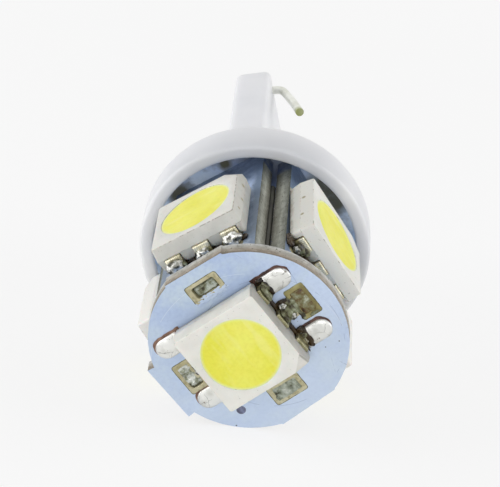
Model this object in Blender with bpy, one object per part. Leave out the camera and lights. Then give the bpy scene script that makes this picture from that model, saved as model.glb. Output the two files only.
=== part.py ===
"""Wedge base LED bulb: nylon holder, tower of four side boards, round head
board, five six-lead LED packages and two sprung contact wires."""

import math

import bmesh
import bpy
from mathutils import Matrix, Vector

MM = 0.001

# Driving sizes, millimetres and radians. Bulb axis is local Z, head
# towards +Z, front face of the head board at Z = 0.
FIT = 0.02              # play between parts that touch

# Tower of side boards
BOARD_T = 0.92          # laminate thickness
TOWER_FACE = 3.96       # outer face of a side board from the axis
TOWER_CORNER = 0.20     # open gap at each tower corner
TAB_HALF = 0.60         # half width of a board's tab
TAB_BACK = 0.40         # tab end below the front face

# Head board
HEAD_R = 5.19
HEAD_SHIFT_X = 0.01     # outline off the tower axis
HEAD_SHIFT_Y = -0.33
HEAD_TWIST = math.radians(5.8)   # board turned on the tower
FLAT_HALF = 1.72        # half length of a snapped-off straight edge
UPPER_FLAT = 4.98       # each edge from the board centre, then its own
UPPER_FLAT_TURN = math.radians(-1.7)   # turn as it broke off the panel
LEFT_FLAT = 5.31
LEFT_FLAT_TURN = math.radians(1.4)
LOWER_FLAT = 4.95
LOWER_FLAT_TURN = math.radians(2.9)
NIB = math.radians(0.9)          # ragged end of each edge
SLOT_END = 0.20         # slot longer than the tab at each end
SLOT_PLAY = 0.06        # slot wider than the board on each side
SLOT_CORNER = 0.10

# LED package
LED_HALF = 2.50         # half side of the package top
LED_H = 1.60            # height above the board
LED_SEAT = 0.01         # foot of a lead above the board
LED_WAIST = 0.78        # moulding parting line below the top face
LED_BELLY = 0.035       # body fuller at the parting line
LED_EDGE = 0.12         # vertical corner chamfer
CUP_WALL = 0.41         # package rim beside the reflector mouth
CUP_DRAFT = 0.34        # reflector floor narrower than its mouth
CUP_DEPTH = 0.85
FILL_DOWN = 0.05        # phosphor surface below the rim
FILL_DISH = 0.03        # and dished in the middle
POLAR_LEG = 0.95        # polarity corner, legs on the top face
POLAR_DEPTH = 0.46      # and its depth down the corner

# Folded leads
LEAD_PITCH = 1.67
LEAD_HALF = 0.45        # half width of a lead
LEAD_T = 0.14
LEAD_RISE = 0.76        # lead height from its foot to its top face
LEAD_OUT = 0.15         # lead stands out of the wall
LEAD_IN = 0.28          # pocket depth behind the wall
LEAD_FOOT = 0.75        # foot length under the body
LEAD_BEND = 0.05        # rounded outer bends
POCKET_PLAY = 0.05      # pocket wider than the lead on each side
POCKET_FLARE = 0.12     # and flared at its foot

# Places of the packages: from the head face to the near edge, then
# along the board, then turned, as hand assembly left each one
LED_NEAR = 2.90
RIGHT_AHEAD = 0.06
RIGHT_SLIDE = 0.44
RIGHT_TURN = math.radians(3.6)
LEFT_AHEAD = 0.38
LEFT_SLIDE = 0.07
LOW_LEFT_AHEAD = -0.08
LOW_LEFT_SLIDE = 0.52
LOW_LEFT_TURN = math.radians(0.6)
LOW_RIGHT_AHEAD = -0.06
LOW_RIGHT_SLIDE = 0.55
LOW_RIGHT_TURN = math.radians(-0.6)
LOW_LIFT = 0.10         # thicker solder under the two lower packages
HEAD_LED_X = -0.20
HEAD_LED_Y = -0.07

# Holder: collar cup and blade
RIM_BEHIND = 1.64       # front rim behind the far edge of the packages
TOWER_PLAY = 0.71       # tower corner to the cup wall
COLLAR_WALL = 0.75
CUP_DEEP = 2.66         # rim to the cup floor
FLOOR_T = 0.95
WALL_DRAFT = 0.12       # cup narrower at its floor
FLOOR_ROUND = 0.35      # inner fillet
BACK_ROUND = 1.45       # outer round at the back
RIM_ROUND = 0.14
SPIGOT_H = 0.70         # square spigot inside the tower
SPIGOT_PLAY = 0.10
SPIGOT_CORNER = 0.45
BLADE_W = 9.50
BLADE_T = 2.10
BLADE_L = 10.55         # from the back of the cup to the tip
BLADE_TURN = math.radians(-21.0)  # blade turned against the tower
BLADE_EDGE = 0.30       # chamfer along the blade
BLADE_FLARE = 0.40      # fillet where the blade meets the cup
TIP_LENGTH = 0.45       # tapered tip
TIP_CUT = 0.28

# Contact wires
WIRE_R = 0.24
WIRE_PLAY = 0.06        # channel wider than the wire
WIRE_INSET = 0.49       # wire inside the tower board at the cup floor
WIRE_EDGE = 1.15        # exit hole from the blade's side edge
WIRE_UP = 0.75          # exit hole above the tip
WIRE_TAIL = 1.90        # inner end above the cup floor
WIRE_TURN = 0.30        # turn inside the blade
WIRE_BEND = 0.70        # bend outside the hole
WIRE_LEAN = math.radians(18.0)   # free run leans off the blade
WIRE_FREE = 3.40        # its straight length

# Chip resistors on the inner faces
CHIP_L = 2.00
CHIP_W = 1.25
CHIP_T = 0.50
CHIP_AHEAD = 0.34       # centre ahead of the collar rim
CHIP_EDGE = 0.05

# Oblong solder joints of the head LED's outer leads
JOINT_PITCH = 1.80
JOINT_HALF = 0.60
JOINT_H = 0.17
JOINT_RIGHT = 1.78      # reach from the package on its right-hand wall
JOINT_LEFT = 1.62       # and on its left-hand wall

# Derived places
SIDE_HALF = TOWER_FACE - BOARD_T - TOWER_CORNER
TAB_OFF = math.tan(HEAD_TWIST) * (TOWER_FACE - BOARD_T / 2)
SLOT_HALF = TAB_HALF + SLOT_END
LED_FOOT = LED_SEAT + LEAD_T + FIT
LEAD_TOP = LED_SEAT + LEAD_RISE
LED_PART_Z = LED_H - LED_WAIST
LEAD_WALL = LED_HALF + LED_BELLY * (LEAD_TOP - LED_FOOT) / (LED_PART_Z - LED_FOOT)
CUP_TOP_R = LED_HALF - CUP_WALL
CUP_LOW_R = CUP_TOP_R - CUP_DRAFT
RIM_Z = -(LED_NEAR + 2 * LED_HALF + RIM_BEHIND)
FLOOR_Z = RIM_Z - CUP_DEEP
BACK_Z = FLOOR_Z - FLOOR_T
CUP_R = math.hypot(TOWER_FACE, SIDE_HALF) + TOWER_PLAY
COLLAR_R = CUP_R + COLLAR_WALL
SPIGOT_HALF = TOWER_FACE - BOARD_T - SPIGOT_PLAY
BLADE_END = BACK_Z - BLADE_L
WIRE_TOP_W = TOWER_FACE - BOARD_T - WIRE_INSET
WIRE_TIP_W = BLADE_W / 2 - WIRE_EDGE
WIRE_EXIT = BLADE_END + WIRE_UP


def clear_scene():
    for item in list(bpy.data.objects):
        bpy.data.objects.remove(item, do_unlink=True)


def plastic(name, colour, roughness):
    mat = bpy.data.materials.new(name)
    mat.use_nodes = True
    node = mat.node_tree.nodes["Principled BSDF"]
    node.inputs["Base Color"].default_value = (*colour, 1.0)
    node.inputs["Roughness"].default_value = roughness
    return mat


def metal(name, colour, roughness):
    mat = plastic(name, colour, roughness)
    mat.node_tree.nodes["Principled BSDF"].inputs["Metallic"].default_value = 1.0
    return mat


def finish(name, bm, mat, parent, smooth=False):
    """Turn a bmesh drawn in millimetres into a named solid."""
    bmesh.ops.remove_doubles(bm, verts=bm.verts, dist=1e-5)
    bmesh.ops.recalc_face_normals(bm, faces=bm.faces)
    bmesh.ops.scale(bm, vec=(MM, MM, MM), verts=bm.verts)
    mesh = bpy.data.meshes.new(name)
    bm.to_mesh(mesh)
    bm.free()
    mesh.materials.append(mat)
    obj = bpy.data.objects.new(name, mesh)
    bpy.context.scene.collection.objects.link(obj)
    obj.parent = parent
    if smooth:
        mesh.shade_smooth()
        mesh.set_sharp_from_angle(angle=math.radians(35.0))
    return obj


def group(name, parent, matrix):
    """An empty that carries pieces; translation in millimetres."""
    item = bpy.data.objects.new(name, None)
    bpy.context.scene.collection.objects.link(item)
    item.parent = parent
    place = matrix.copy()
    place.translation = matrix.translation * MM
    item.matrix_local = place
    return item


def arc(centre_r, centre_z, radius, start, stop, steps=6):
    """Points of a fillet in a (radius, z) profile, angles in degrees."""
    points = []
    for i in range(steps + 1):
        a = math.radians(start + (stop - start) * i / steps)
        points.append((centre_r + radius * math.cos(a), centre_z + radius * math.sin(a)))
    return points


def prism(bm, outline, low, high, turn=None):
    """Extrude a closed XY outline from low to high along Z."""
    ring = [bm.verts.new((x, y, low)) for x, y in outline]
    top = [bm.verts.new((x, y, high)) for x, y in outline]
    faces = [bm.faces.new(ring), bm.faces.new(list(reversed(top)))]
    count = len(ring)
    for i in range(count):
        j = (i + 1) % count
        faces.append(bm.faces.new((ring[j], ring[i], top[i], top[j])))
    if turn is not None:
        bmesh.ops.transform(bm, matrix=turn, verts=ring + top)
    return faces


def turned(bm, profile, steps):
    """Revolve an open (radius, z) profile that starts and ends on the axis."""
    rings = []
    for radius, z in profile:
        if radius < 1e-6:
            rings.append([bm.verts.new((0.0, 0.0, z))])
            continue
        ring = []
        for i in range(steps):
            a = 2.0 * math.pi * i / steps
            ring.append(bm.verts.new((radius * math.cos(a), radius * math.sin(a), z)))
        rings.append(ring)
    for a, b in zip(rings, rings[1:]):
        for i in range(steps):
            j = (i + 1) % steps
            if len(a) == 1:
                bm.faces.new((a[0], b[i], b[j]))
            elif len(b) == 1:
                bm.faces.new((a[i], b[0], a[j]))
            else:
                bm.faces.new((a[i], b[i], b[j], a[j]))


def chamfered(half_x, half_y, cut):
    """Rectangle with chamfered corners, counter-clockwise."""
    points = []
    for sx, sy in ((1, -1), (1, 1), (-1, 1), (-1, -1)):
        first = (sx * half_x, sy * (half_y - cut))
        second = (sx * (half_x - cut), sy * half_y)
        points += [first, second] if sx * sy > 0 else [second, first]
    return points


def loft(bm, rings):
    """Skin between point rings of the same length and close both ends."""
    loops = [[bm.verts.new(p) for p in ring] for ring in rings]
    bm.faces.new(list(reversed(loops[0])))
    bm.faces.new(loops[-1])
    for a, b in zip(loops, loops[1:]):
        for i in range(len(a)):
            j = (i + 1) % len(a)
            bm.faces.new((a[i], a[j], b[j], b[i]))


def cut_with(obj, cutter, operation="DIFFERENCE"):
    mod = obj.modifiers.new(cutter.name, "BOOLEAN")
    mod.operation = operation
    mod.solver = "EXACT"
    mod.object = cutter
    cutter.hide_render = True
    cutter.display_type = "WIRE"


def blade_frame():
    """Local frame of the blade: X through its thickness, Y across its width."""
    return Matrix.Rotation(BLADE_TURN, 4, "Z")


def blade_solid(parent, mat):
    """Wedge blade, filleted into the cup's back and tapered at its tip."""
    bm = bmesh.new()
    stations = [(FLOOR_Z - FLOOR_T * 0.4, BLADE_FLARE)]
    for drop, out in arc(0.0, 0.0, 1.0, 0.0, 90.0, 4):
        stations.append((BACK_Z - BLADE_FLARE * 2.5 * out, BLADE_FLARE * (1 - math.sqrt(1 - drop * drop))))
    stations += [(BLADE_END + TIP_LENGTH, 0.0), (BLADE_END, -TIP_CUT)]
    rings = []
    for z, grow in stations:
        flat = chamfered(BLADE_T / 2 + grow, BLADE_W / 2 + grow, BLADE_EDGE)
        rings.append([(x, y, z) for x, y in flat])
    loft(bm, rings)
    bmesh.ops.transform(bm, matrix=blade_frame(), verts=bm.verts)
    return finish("blade_form", bm, mat, parent)


def channel_points(side):
    """Straight run of a wire in the blade and its turn out of the broad face."""
    frame = blade_frame()
    top = frame @ Vector((0.0, side * WIRE_TOP_W, FLOOR_Z + SPIGOT_H + WIRE_TURN))
    corner = frame @ Vector((0.0, side * WIRE_TIP_W, WIRE_EXIT))
    mouth = frame @ Vector((side * (BLADE_T / 2 + WIRE_TURN), side * WIRE_TIP_W, WIRE_EXIT))
    return top, corner, mouth


def rod(bm, start, end, radius, steps=10):
    """Closed round rod between two points."""
    axis = end - start
    turn = axis.to_track_quat("Z", "Y").to_matrix().to_4x4()
    place = Matrix.Translation(start) @ turn
    circle = []
    for i in range(steps):
        a = 2.0 * math.pi * (i + 0.5) / steps
        circle.append((radius * math.cos(a), radius * math.sin(a)))
    prism(bm, circle, 0.0, axis.length, place)


def wire_channels(parent, mat, part):
    cutters = []
    for side in (1, -1):
        top, corner, mouth = channel_points(side)
        ends = (top, corner + (corner - top).normalized() * (WIRE_R + WIRE_PLAY))
        if part == "cross":
            ends = (corner, mouth)
        bm = bmesh.new()
        rod(bm, ends[0], ends[1], WIRE_R + WIRE_PLAY)
        label = "wire_%s_cut_%s" % (part, "a" if side > 0 else "b")
        cutters.append(finish(label, bm, mat, parent))
    return cutters


def holder_profile():
    """Cup section from the floor over the rim to the back, (radius, z)."""
    floor_r = CUP_R - WALL_DRAFT
    points = [(0.0, FLOOR_Z)]
    points += arc(floor_r - FLOOR_ROUND, FLOOR_Z + FLOOR_ROUND, FLOOR_ROUND, -90.0, 0.0, 4)
    points += [(CUP_R, RIM_Z - RIM_ROUND / 2), (CUP_R + RIM_ROUND / 2, RIM_Z)]
    points += arc(COLLAR_R - RIM_ROUND, RIM_Z - RIM_ROUND, RIM_ROUND, 90.0, 0.0, 3)
    points += arc(COLLAR_R - BACK_ROUND, BACK_Z + BACK_ROUND, BACK_ROUND, 0.0, -90.0, 6)
    points.append((0.0, BACK_Z))
    return points


def build_holder(parent, mat):
    """Milky moulding: collar cup, square spigot on its floor, wedge blade."""
    bm = bmesh.new()
    turned(bm, holder_profile(), 72)
    cup = finish("holder", bm, mat, parent, smooth=True)
    bm = bmesh.new()
    outline = chamfered(SPIGOT_HALF, SPIGOT_HALF, SPIGOT_CORNER)
    prism(bm, outline, FLOOR_Z - FLOOR_T * 0.3, FLOOR_Z + SPIGOT_H)
    spigot = finish("spigot_form", bm, mat, parent)
    cut_with(cup, spigot, "UNION")
    cut_with(cup, blade_solid(parent, mat), "UNION")
    for cutter in wire_channels(parent, mat, "long"):
        cut_with(cup, cutter)
    for cutter in wire_channels(parent, mat, "cross"):
        cut_with(cup, cutter)
    return cup


def wire_path(side):
    """Centre line of one contact wire, inner end first."""
    frame = blade_frame()
    top, corner, mouth = channel_points(side)
    board_gap = TOWER_FACE - BOARD_T - WIRE_R - FIT
    inner_end = FLOOR_Z + WIRE_TAIL
    points = [
        Vector((top.x, side * board_gap, inner_end)),
        Vector((top.x, side * (board_gap - FIT), (inner_end + top.z) / 2)),
        top + Vector((0.0, 0.0, WIRE_R / 4)),
    ]
    run = (corner - top).normalized()
    outward = frame @ Vector((side, 0.0, 0.0))
    points.append((top + corner) / 2)
    points.append(corner - run * WIRE_TURN)
    points.append(corner + (outward - run) * WIRE_TURN * 0.3)
    points.append(corner + outward * WIRE_TURN)
    bend_end = math.pi / 2 - WIRE_LEAN
    face = BLADE_T / 2
    for i in range(6):
        a = bend_end * i / 5
        out = face + WIRE_BEND * math.sin(a)
        up = WIRE_EXIT + WIRE_BEND * (1 - math.cos(a))
        points.append(frame @ Vector((side * out, side * WIRE_TIP_W, up)))
    lean = frame @ Vector((side * math.sin(WIRE_LEAN), 0.0, math.cos(WIRE_LEAN)))
    points.append(points[-1] + lean * WIRE_FREE)
    return points


def build_wire(name, side, parent, mat):
    points = wire_path(side)
    curve = bpy.data.curves.new(name, "CURVE")
    curve.dimensions = "3D"
    curve.bevel_depth = WIRE_R * MM
    curve.bevel_resolution = 2
    curve.use_fill_caps = True
    spline = curve.splines.new("POLY")
    spline.points.add(len(points) - 1)
    for target, point in zip(spline.points, points):
        target.co = (point.x * MM, point.y * MM, point.z * MM, 1.0)
    curve.materials.append(mat)
    obj = bpy.data.objects.new(name, curve)
    bpy.context.scene.collection.objects.link(obj)
    obj.parent = parent
    return obj


def head_outline():
    """Round board with three straight snapped edges and their nibs."""
    flats = (
        (math.pi / 2 + UPPER_FLAT_TURN, UPPER_FLAT),
        (math.pi + LEFT_FLAT_TURN, LEFT_FLAT),
        (3 * math.pi / 2 + LOWER_FLAT_TURN, LOWER_FLAT),
    )
    points = []
    start = 0.0
    for middle, distance in flats + ((2 * math.pi, None),):
        reach = math.hypot(distance, FLAT_HALF) if distance else HEAD_R
        spread = math.atan2(FLAT_HALF, distance) if distance else 0.0
        stop = middle - spread - (NIB if distance else 0.0)
        steps = 18
        for i in range(steps + 1):
            a = start + (stop - start) * i / steps
            points.append((HEAD_R * math.cos(a), HEAD_R * math.sin(a)))
        if distance:
            for a in (middle - spread, middle + spread):
                points.append((reach * math.cos(a), reach * math.sin(a)))
        start = middle + spread + NIB
    return points[:-1]


def build_head_board(parent, mat):
    bm = bmesh.new()
    prism(bm, head_outline(), -BOARD_T, 0.0)
    shift = Matrix.Translation((HEAD_SHIFT_X, HEAD_SHIFT_Y, 0.0))
    bmesh.ops.transform(bm, matrix=shift @ Matrix.Rotation(HEAD_TWIST, 4, "Z"), verts=bm.verts)
    board = finish("head_board", bm, mat, parent, smooth=True)
    bm = bmesh.new()
    middle = TOWER_FACE - BOARD_T / 2
    slot = chamfered(BOARD_T / 2 + SLOT_PLAY, SLOT_HALF, SLOT_CORNER)
    for quarter in range(4):
        turn = Matrix.Rotation(HEAD_TWIST + quarter * math.pi / 2, 4, "Z")
        prism(bm, slot, -BOARD_T * 1.2, BOARD_T * 0.2, turn @ Matrix.Translation((middle, 0.0, 0.0)))
    cut_with(board, finish("slot_cut", bm, mat, parent))
    return board


def side_turn(quarter):
    """Frame of a side board: Z outwards, Y towards the head."""
    outward = Vector((math.cos(quarter * math.pi / 2), math.sin(quarter * math.pi / 2), 0.0))
    along = Vector((0.0, 0.0, 1.0))
    across = along.cross(outward)
    frame = Matrix((across, along, outward)).transposed().to_4x4()
    frame.translation = outward * TOWER_FACE
    return frame


def build_side_board(name, seat, mat):
    shoulder = -BOARD_T - FIT
    outline = (
        (-SIDE_HALF, FLOOR_Z + FIT), (SIDE_HALF, FLOOR_Z + FIT), (SIDE_HALF, shoulder),
        (TAB_OFF + TAB_HALF, shoulder), (TAB_OFF + TAB_HALF, -TAB_BACK),
        (TAB_OFF - TAB_HALF, -TAB_BACK), (TAB_OFF - TAB_HALF, shoulder),
        (-SIDE_HALF, shoulder),
    )
    bm = bmesh.new()
    prism(bm, outline, -BOARD_T, 0.0)
    return finish(name, bm, mat, seat)


def build_chip(name, seat, mat):
    bm = bmesh.new()
    top = -BOARD_T - FIT
    prism(bm, chamfered(CHIP_W / 2, CHIP_L / 2, CHIP_EDGE), top - CHIP_T, top)
    bmesh.ops.translate(bm, vec=(0.0, RIM_Z + CHIP_AHEAD, 0.0), verts=bm.verts)
    return finish(name, bm, mat, seat)


def lead_outline():
    """Side view (y, z) of a lead folded down the wall and under the body."""
    outer = LEAD_WALL + LEAD_OUT
    inner = LEAD_WALL - LEAD_IN + FIT
    foot = outer - LEAD_T - LEAD_FOOT
    return (
        (inner, LEAD_TOP - LEAD_T), (outer - LEAD_T, LEAD_TOP - LEAD_T),
        (outer - LEAD_T, LED_SEAT + LEAD_T), (foot, LED_SEAT + LEAD_T), (foot, LED_SEAT),
        (outer - LEAD_BEND, LED_SEAT), (outer, LED_SEAT + LEAD_BEND),
        (outer, LEAD_TOP - LEAD_BEND), (outer - LEAD_BEND, LEAD_TOP), (inner, LEAD_TOP),
    )


def build_lead(name, x, wall, seat, mat):
    bm = bmesh.new()
    prism(bm, lead_outline(), -LEAD_HALF, LEAD_HALF)
    swing = Matrix(((0, 0, 1, x), (wall, 0, 0, 0), (0, 1, 0, 0), (0, 0, 0, 1)))
    bmesh.ops.transform(bm, matrix=swing, verts=bm.verts)
    return finish(name, bm, mat, seat)


def pocket_outline():
    """Front view (x, z) of a lead pocket, flared at its foot."""
    half = LEAD_HALF + POCKET_PLAY
    top = LEAD_TOP + FIT
    low = LED_FOOT - LEAD_T / 2
    flare_top = (LED_FOOT + top) / 2
    right = [(half + POCKET_FLARE, low)]
    for i in range(4):
        a = math.pi / 2 * i / 3
        wide = half + POCKET_FLARE * (1 - math.sin(a))
        right.append((wide, LED_FOOT + (flare_top - LED_FOOT) * (1 - math.cos(a))))
    right.append((half, top))
    return [(-x, z) for x, z in right] + list(reversed(right))


def lead_pockets(name, seat, mat):
    bm = bmesh.new()
    back = LEAD_WALL - LEAD_IN
    front = LED_HALF + LEAD_OUT + LEAD_T
    for wall in (1, -1):
        for step in (-1, 0, 1):
            place = Matrix(((1, 0, 0, step * LEAD_PITCH), (0, 0, wall, 0), (0, 1, 0, 0), (0, 0, 0, 1)))
            prism(bm, pocket_outline(), back, front, place)
    return finish(name, bm, mat, seat)


def cut_polarity_corner(bm):
    """Plane across one top corner, the mark for the first lead."""
    corner = Vector((-LED_HALF, -LED_HALF, LED_H))
    a = corner + Vector((POLAR_LEG, 0.0, 0.0))
    b = corner + Vector((0.0, POLAR_LEG, 0.0))
    c = corner - Vector((0.0, 0.0, POLAR_DEPTH))
    normal = (b - a).cross(c - a).normalized()
    if normal.dot(corner - a) < 0:
        normal.negate()
    geom = list(bm.verts) + list(bm.edges) + list(bm.faces)
    cut = bmesh.ops.bisect_plane(bm, geom=geom, plane_co=a, plane_no=normal, clear_outer=True)
    edges = [item for item in cut["geom_cut"] if isinstance(item, bmesh.types.BMEdge)]
    bmesh.ops.edgeloop_fill(bm, edges=edges)


def build_body(name, seat, mat):
    """White package body: drafted block, polarity corner, reflector, pockets."""
    bm = bmesh.new()
    rings = []
    low_grow = -LED_BELLY * 1.4
    for z, grow in ((LED_FOOT, low_grow), (LED_PART_Z, LED_BELLY), (LED_H - LED_BELLY, 0.0), (LED_H, -LED_BELLY)):
        half = LED_HALF + grow
        rings.append([(x, y, z) for x, y in chamfered(half, half, LED_EDGE)])
    loft(bm, rings)
    bmesh.ops.recalc_face_normals(bm, faces=bm.faces)
    cut_polarity_corner(bm)
    body = finish(name, bm, mat, seat)
    bm = bmesh.new()
    over = CUP_DEPTH * 0.2
    over_r = CUP_TOP_R + CUP_DRAFT * over / CUP_DEPTH
    turned(bm, ((0.0, LED_H + over), (over_r, LED_H + over),
                (CUP_LOW_R, LED_H - CUP_DEPTH), (0.0, LED_H - CUP_DEPTH)), 40)
    cut_with(body, finish(name + "_mouth_cut", bm, mat, seat))
    cut_with(body, lead_pockets(name + "_pocket_cut", seat, mat))
    return body


def build_fill(name, seat, mat):
    """Phosphor-loaded silicone, surface slightly dished."""
    surface = LED_H - FILL_DOWN
    edge = CUP_TOP_R - CUP_DRAFT * FILL_DOWN / CUP_DEPTH - FIT
    floor = LED_H - CUP_DEPTH + FIT
    bm = bmesh.new()
    turned(bm, ((0.0, surface - FILL_DISH), (edge * 0.6, surface - FILL_DISH * 0.75),
                (edge, surface), (CUP_LOW_R - FIT, floor), (0.0, floor)), 40)
    return finish(name, bm, mat, seat, smooth=True)


def build_led(label, seat, mats):
    build_body("led_body_" + label, seat, mats["body"])
    build_fill("led_fill_" + label, seat, mats["fill"])
    number = 0
    for wall in (1, -1):
        for step in (-1, 0, 1):
            number += 1
            build_lead("led_lead_%s_%d" % (label, number), step * LEAD_PITCH, wall, seat, mats["lead"])


def build_joint(name, x, wall, reach, seat, mat):
    """Oblong domed solder joint that runs out from a head LED lead."""
    start = LEAD_WALL + LEAD_OUT + FIT
    end = LED_HALF + reach
    outline = [(-JOINT_HALF, start), (JOINT_HALF, start)]
    for i in range(11):
        a = math.pi * i / 10
        outline.append((JOINT_HALF * math.cos(a), end - JOINT_HALF + JOINT_HALF * math.sin(a)))
    centre_y = (start + end) / 2
    rings = []
    for scale, z in ((1.0, LED_SEAT), (0.97, JOINT_H * 0.4), (0.84, JOINT_H * 0.85), (0.55, JOINT_H)):
        ring = []
        for px, py in outline:
            ring.append((x + px * scale, wall * (centre_y + (py - centre_y) * scale), z))
        rings.append(ring)
    bm = bmesh.new()
    loft(bm, rings)
    return finish(name, bm, mat, seat, smooth=True)


def led_seat(root, board_seat, label, ahead, slide, turn, lift=0.0):
    """Seat of a side package on its board, with its own small error."""
    place = Matrix.Translation((slide, ahead - LED_NEAR - LED_HALF, LED_SEAT + lift))
    return group("seat_" + label, board_seat, place @ Matrix.Rotation(turn, 4, "Z"))


def led_seats(root, boards):
    seats = {
        "right": led_seat(root, boards[0], "right", RIGHT_AHEAD, RIGHT_SLIDE, RIGHT_TURN),
        "left": led_seat(root, boards[1], "left", LEFT_AHEAD, LEFT_SLIDE, 0.0),
        "low_left": led_seat(root, boards[2], "low_left", LOW_LEFT_AHEAD, LOW_LEFT_SLIDE, LOW_LEFT_TURN, LOW_LIFT),
        "low_right": led_seat(root, boards[3], "low_right", LOW_RIGHT_AHEAD, LOW_RIGHT_SLIDE, LOW_RIGHT_TURN,
                              LOW_LIFT),
    }
    place = Matrix.Translation((HEAD_LED_X, HEAD_LED_Y, LED_SEAT))
    seats["head"] = group("seat_head", root, place @ Matrix.Rotation(HEAD_TWIST + math.pi / 2, 4, "Z"))
    return seats


def near_corner(side, ahead, slide, turn):
    """Near outer corner of a side package: place round its board, and along it."""
    corner = LED_HALF - LED_BELLY
    spun = Matrix.Rotation(turn, 2) @ Vector((side * corner, corner - LED_EDGE))
    return slide + spun.x, ahead - LED_NEAR - LED_HALF + spun.y


def rest_attitude():
    """Roll and tilt at which the bulb lies on its rim and its head.

    It is rolled until the near corners of the two lower packages are equally
    low. The head then comes down on them or on the edge of the head board."""
    face = TOWER_FACE + LED_SEAT + LOW_LIFT + LED_H
    round_a, near_a = near_corner(1, LOW_LEFT_AHEAD, LOW_LEFT_SLIDE, LOW_LEFT_TURN)
    round_b, near_b = near_corner(-1, LOW_RIGHT_AHEAD, LOW_RIGHT_SLIDE, LOW_RIGHT_TURN)
    corner_a = Vector((-face, -round_a))
    corner_b = Vector((round_b, -face))
    first = math.atan2(corner_a.y, corner_a.x)
    last = math.atan2(corner_b.y, corner_b.x)
    for _ in range(40):
        angle = (first + last) / 2
        down = Vector((math.cos(angle), math.sin(angle)))
        slope_a = (COLLAR_R - corner_a.dot(down)) / (near_a - RIM_Z)
        slope_b = (COLLAR_R - corner_b.dot(down)) / (near_b - RIM_Z)
        if slope_a < slope_b:
            first = angle
        else:
            last = angle
    board = COLLAR_R - HEAD_R - Vector((HEAD_SHIFT_X, HEAD_SHIFT_Y)).dot(down)
    slope = min(slope_a, slope_b, board / -RIM_Z)
    return angle + math.pi, math.atan(slope)


def settle(root):
    """Move the root so that the box of all solids stands centred on the floor."""
    bpy.context.view_layer.update()
    graph = bpy.context.evaluated_depsgraph_get()
    low = Vector((1e9, 1e9, 1e9))
    high = -low
    for obj in bpy.context.scene.objects:
        if obj.type not in ("MESH", "CURVE") or obj.hide_render:
            continue
        shape = obj.evaluated_get(graph)
        mesh = shape.to_mesh()
        for vert in mesh.vertices:
            point = shape.matrix_world @ vert.co
            low = Vector(map(min, low, point))
            high = Vector(map(max, high, point))
        shape.to_mesh_clear()
    middle = (low + high) / 2
    root.location = root.location - Vector((middle.x, middle.y, low.z))


def main():
    clear_scene()
    bpy.context.scene.unit_settings.scale_length = 1.0
    nylon = plastic("milky nylon", (0.80, 0.81, 0.83), 0.45)
    laminate = plastic("blue masked laminate", (0.45, 0.58, 0.80), 0.40)
    chip = plastic("resistor ceramic", (0.03, 0.03, 0.035), 0.40)
    wire = metal("tinned contact wire", (0.62, 0.62, 0.58), 0.35)
    solder = metal("tin solder", (0.82, 0.82, 0.80), 0.28)
    led_mats = {
        "body": plastic("white package resin", (0.82, 0.82, 0.79), 0.45),
        "fill": plastic("yellow phosphor silicone", (0.86, 0.84, 0.12), 0.35),
        "lead": metal("gold flashed lead", (0.70, 0.63, 0.36), 0.35),
    }
    root = group("bulb", None, Matrix.Identity(4))
    build_holder(root, nylon)
    build_wire("contact_wire_a", 1, root, wire)
    build_wire("contact_wire_b", -1, root, wire)
    build_head_board(root, laminate)
    boards = []
    for quarter, label in enumerate(("right", "left", "low_left", "low_right")):
        seat = group("board_seat_" + label, root, side_turn(quarter))
        boards.append(seat)
        build_side_board("side_board_" + label, seat, laminate)
        build_chip("chip_resistor_" + label, seat, chip)
    seats = led_seats(root, boards)
    for label, seat in seats.items():
        build_led(label, seat, led_mats)
    for number, (wall, step) in enumerate(((-1, -1), (-1, 1), (1, -1), (1, 1))):
        reach = JOINT_RIGHT if wall < 0 else JOINT_LEFT
        build_joint("head_joint_%d" % (number + 1), step * JOINT_PITCH, wall, reach, seats["head"], solder)
    up_angle, tilt = rest_attitude()
    lie = Matrix.Rotation(math.pi / 2 + tilt, 4, "X")
    root.matrix_local = lie @ Matrix.Rotation(math.pi / 2 - up_angle, 4, "Z")
    settle(root)


main()
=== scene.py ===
from math import atan2, cos, hypot, pi, radians, sin

import bmesh
import bpy
from mathutils import Matrix, Vector, noise


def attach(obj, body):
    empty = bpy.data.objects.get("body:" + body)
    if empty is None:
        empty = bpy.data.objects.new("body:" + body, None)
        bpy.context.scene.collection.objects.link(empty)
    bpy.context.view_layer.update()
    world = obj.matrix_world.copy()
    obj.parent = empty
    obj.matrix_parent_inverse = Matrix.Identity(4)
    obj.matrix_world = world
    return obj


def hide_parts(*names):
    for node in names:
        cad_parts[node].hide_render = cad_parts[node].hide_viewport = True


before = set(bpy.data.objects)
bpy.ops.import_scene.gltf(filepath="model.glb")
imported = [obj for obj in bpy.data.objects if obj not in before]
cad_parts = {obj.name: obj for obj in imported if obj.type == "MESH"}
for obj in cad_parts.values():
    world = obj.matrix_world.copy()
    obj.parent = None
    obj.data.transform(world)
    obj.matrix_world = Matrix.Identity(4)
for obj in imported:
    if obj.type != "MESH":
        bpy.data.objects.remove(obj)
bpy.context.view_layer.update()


# Tower boards. Four strips of glass laminate with pale blue mask on both
# faces, snapped off a panel, so their long edges are bare and fibrous. They
# stand in a square, open at the corners, each with a tab through the head.
MM = 0.001
BOARD_T = 0.92
TOWER_FACE = 3.96
TOWER_CORNER = 0.2
TAB_HALF = 0.6
TAB_OFF = 0.356
TAB_BACK = 0.4
HEAD_GAP = 0.02
EDGE_RAGGED = 0.018      # depth of the torn fibres along an edge
LABELS = ("right", "left", "low_left", "low_right")


def middle(node):
    """Mean of a CAD node's separate corners, in metres."""
    corners = {tuple(round(c, 7) for c in v.co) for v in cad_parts[node].data.vertices}
    return sum((Vector(c) for c in corners), Vector()) / len(corners)


def reach(node, way):
    """How far a CAD node reaches along a direction, in metres."""
    return max(v.co.dot(way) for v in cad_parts[node].data.vertices)


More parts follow.
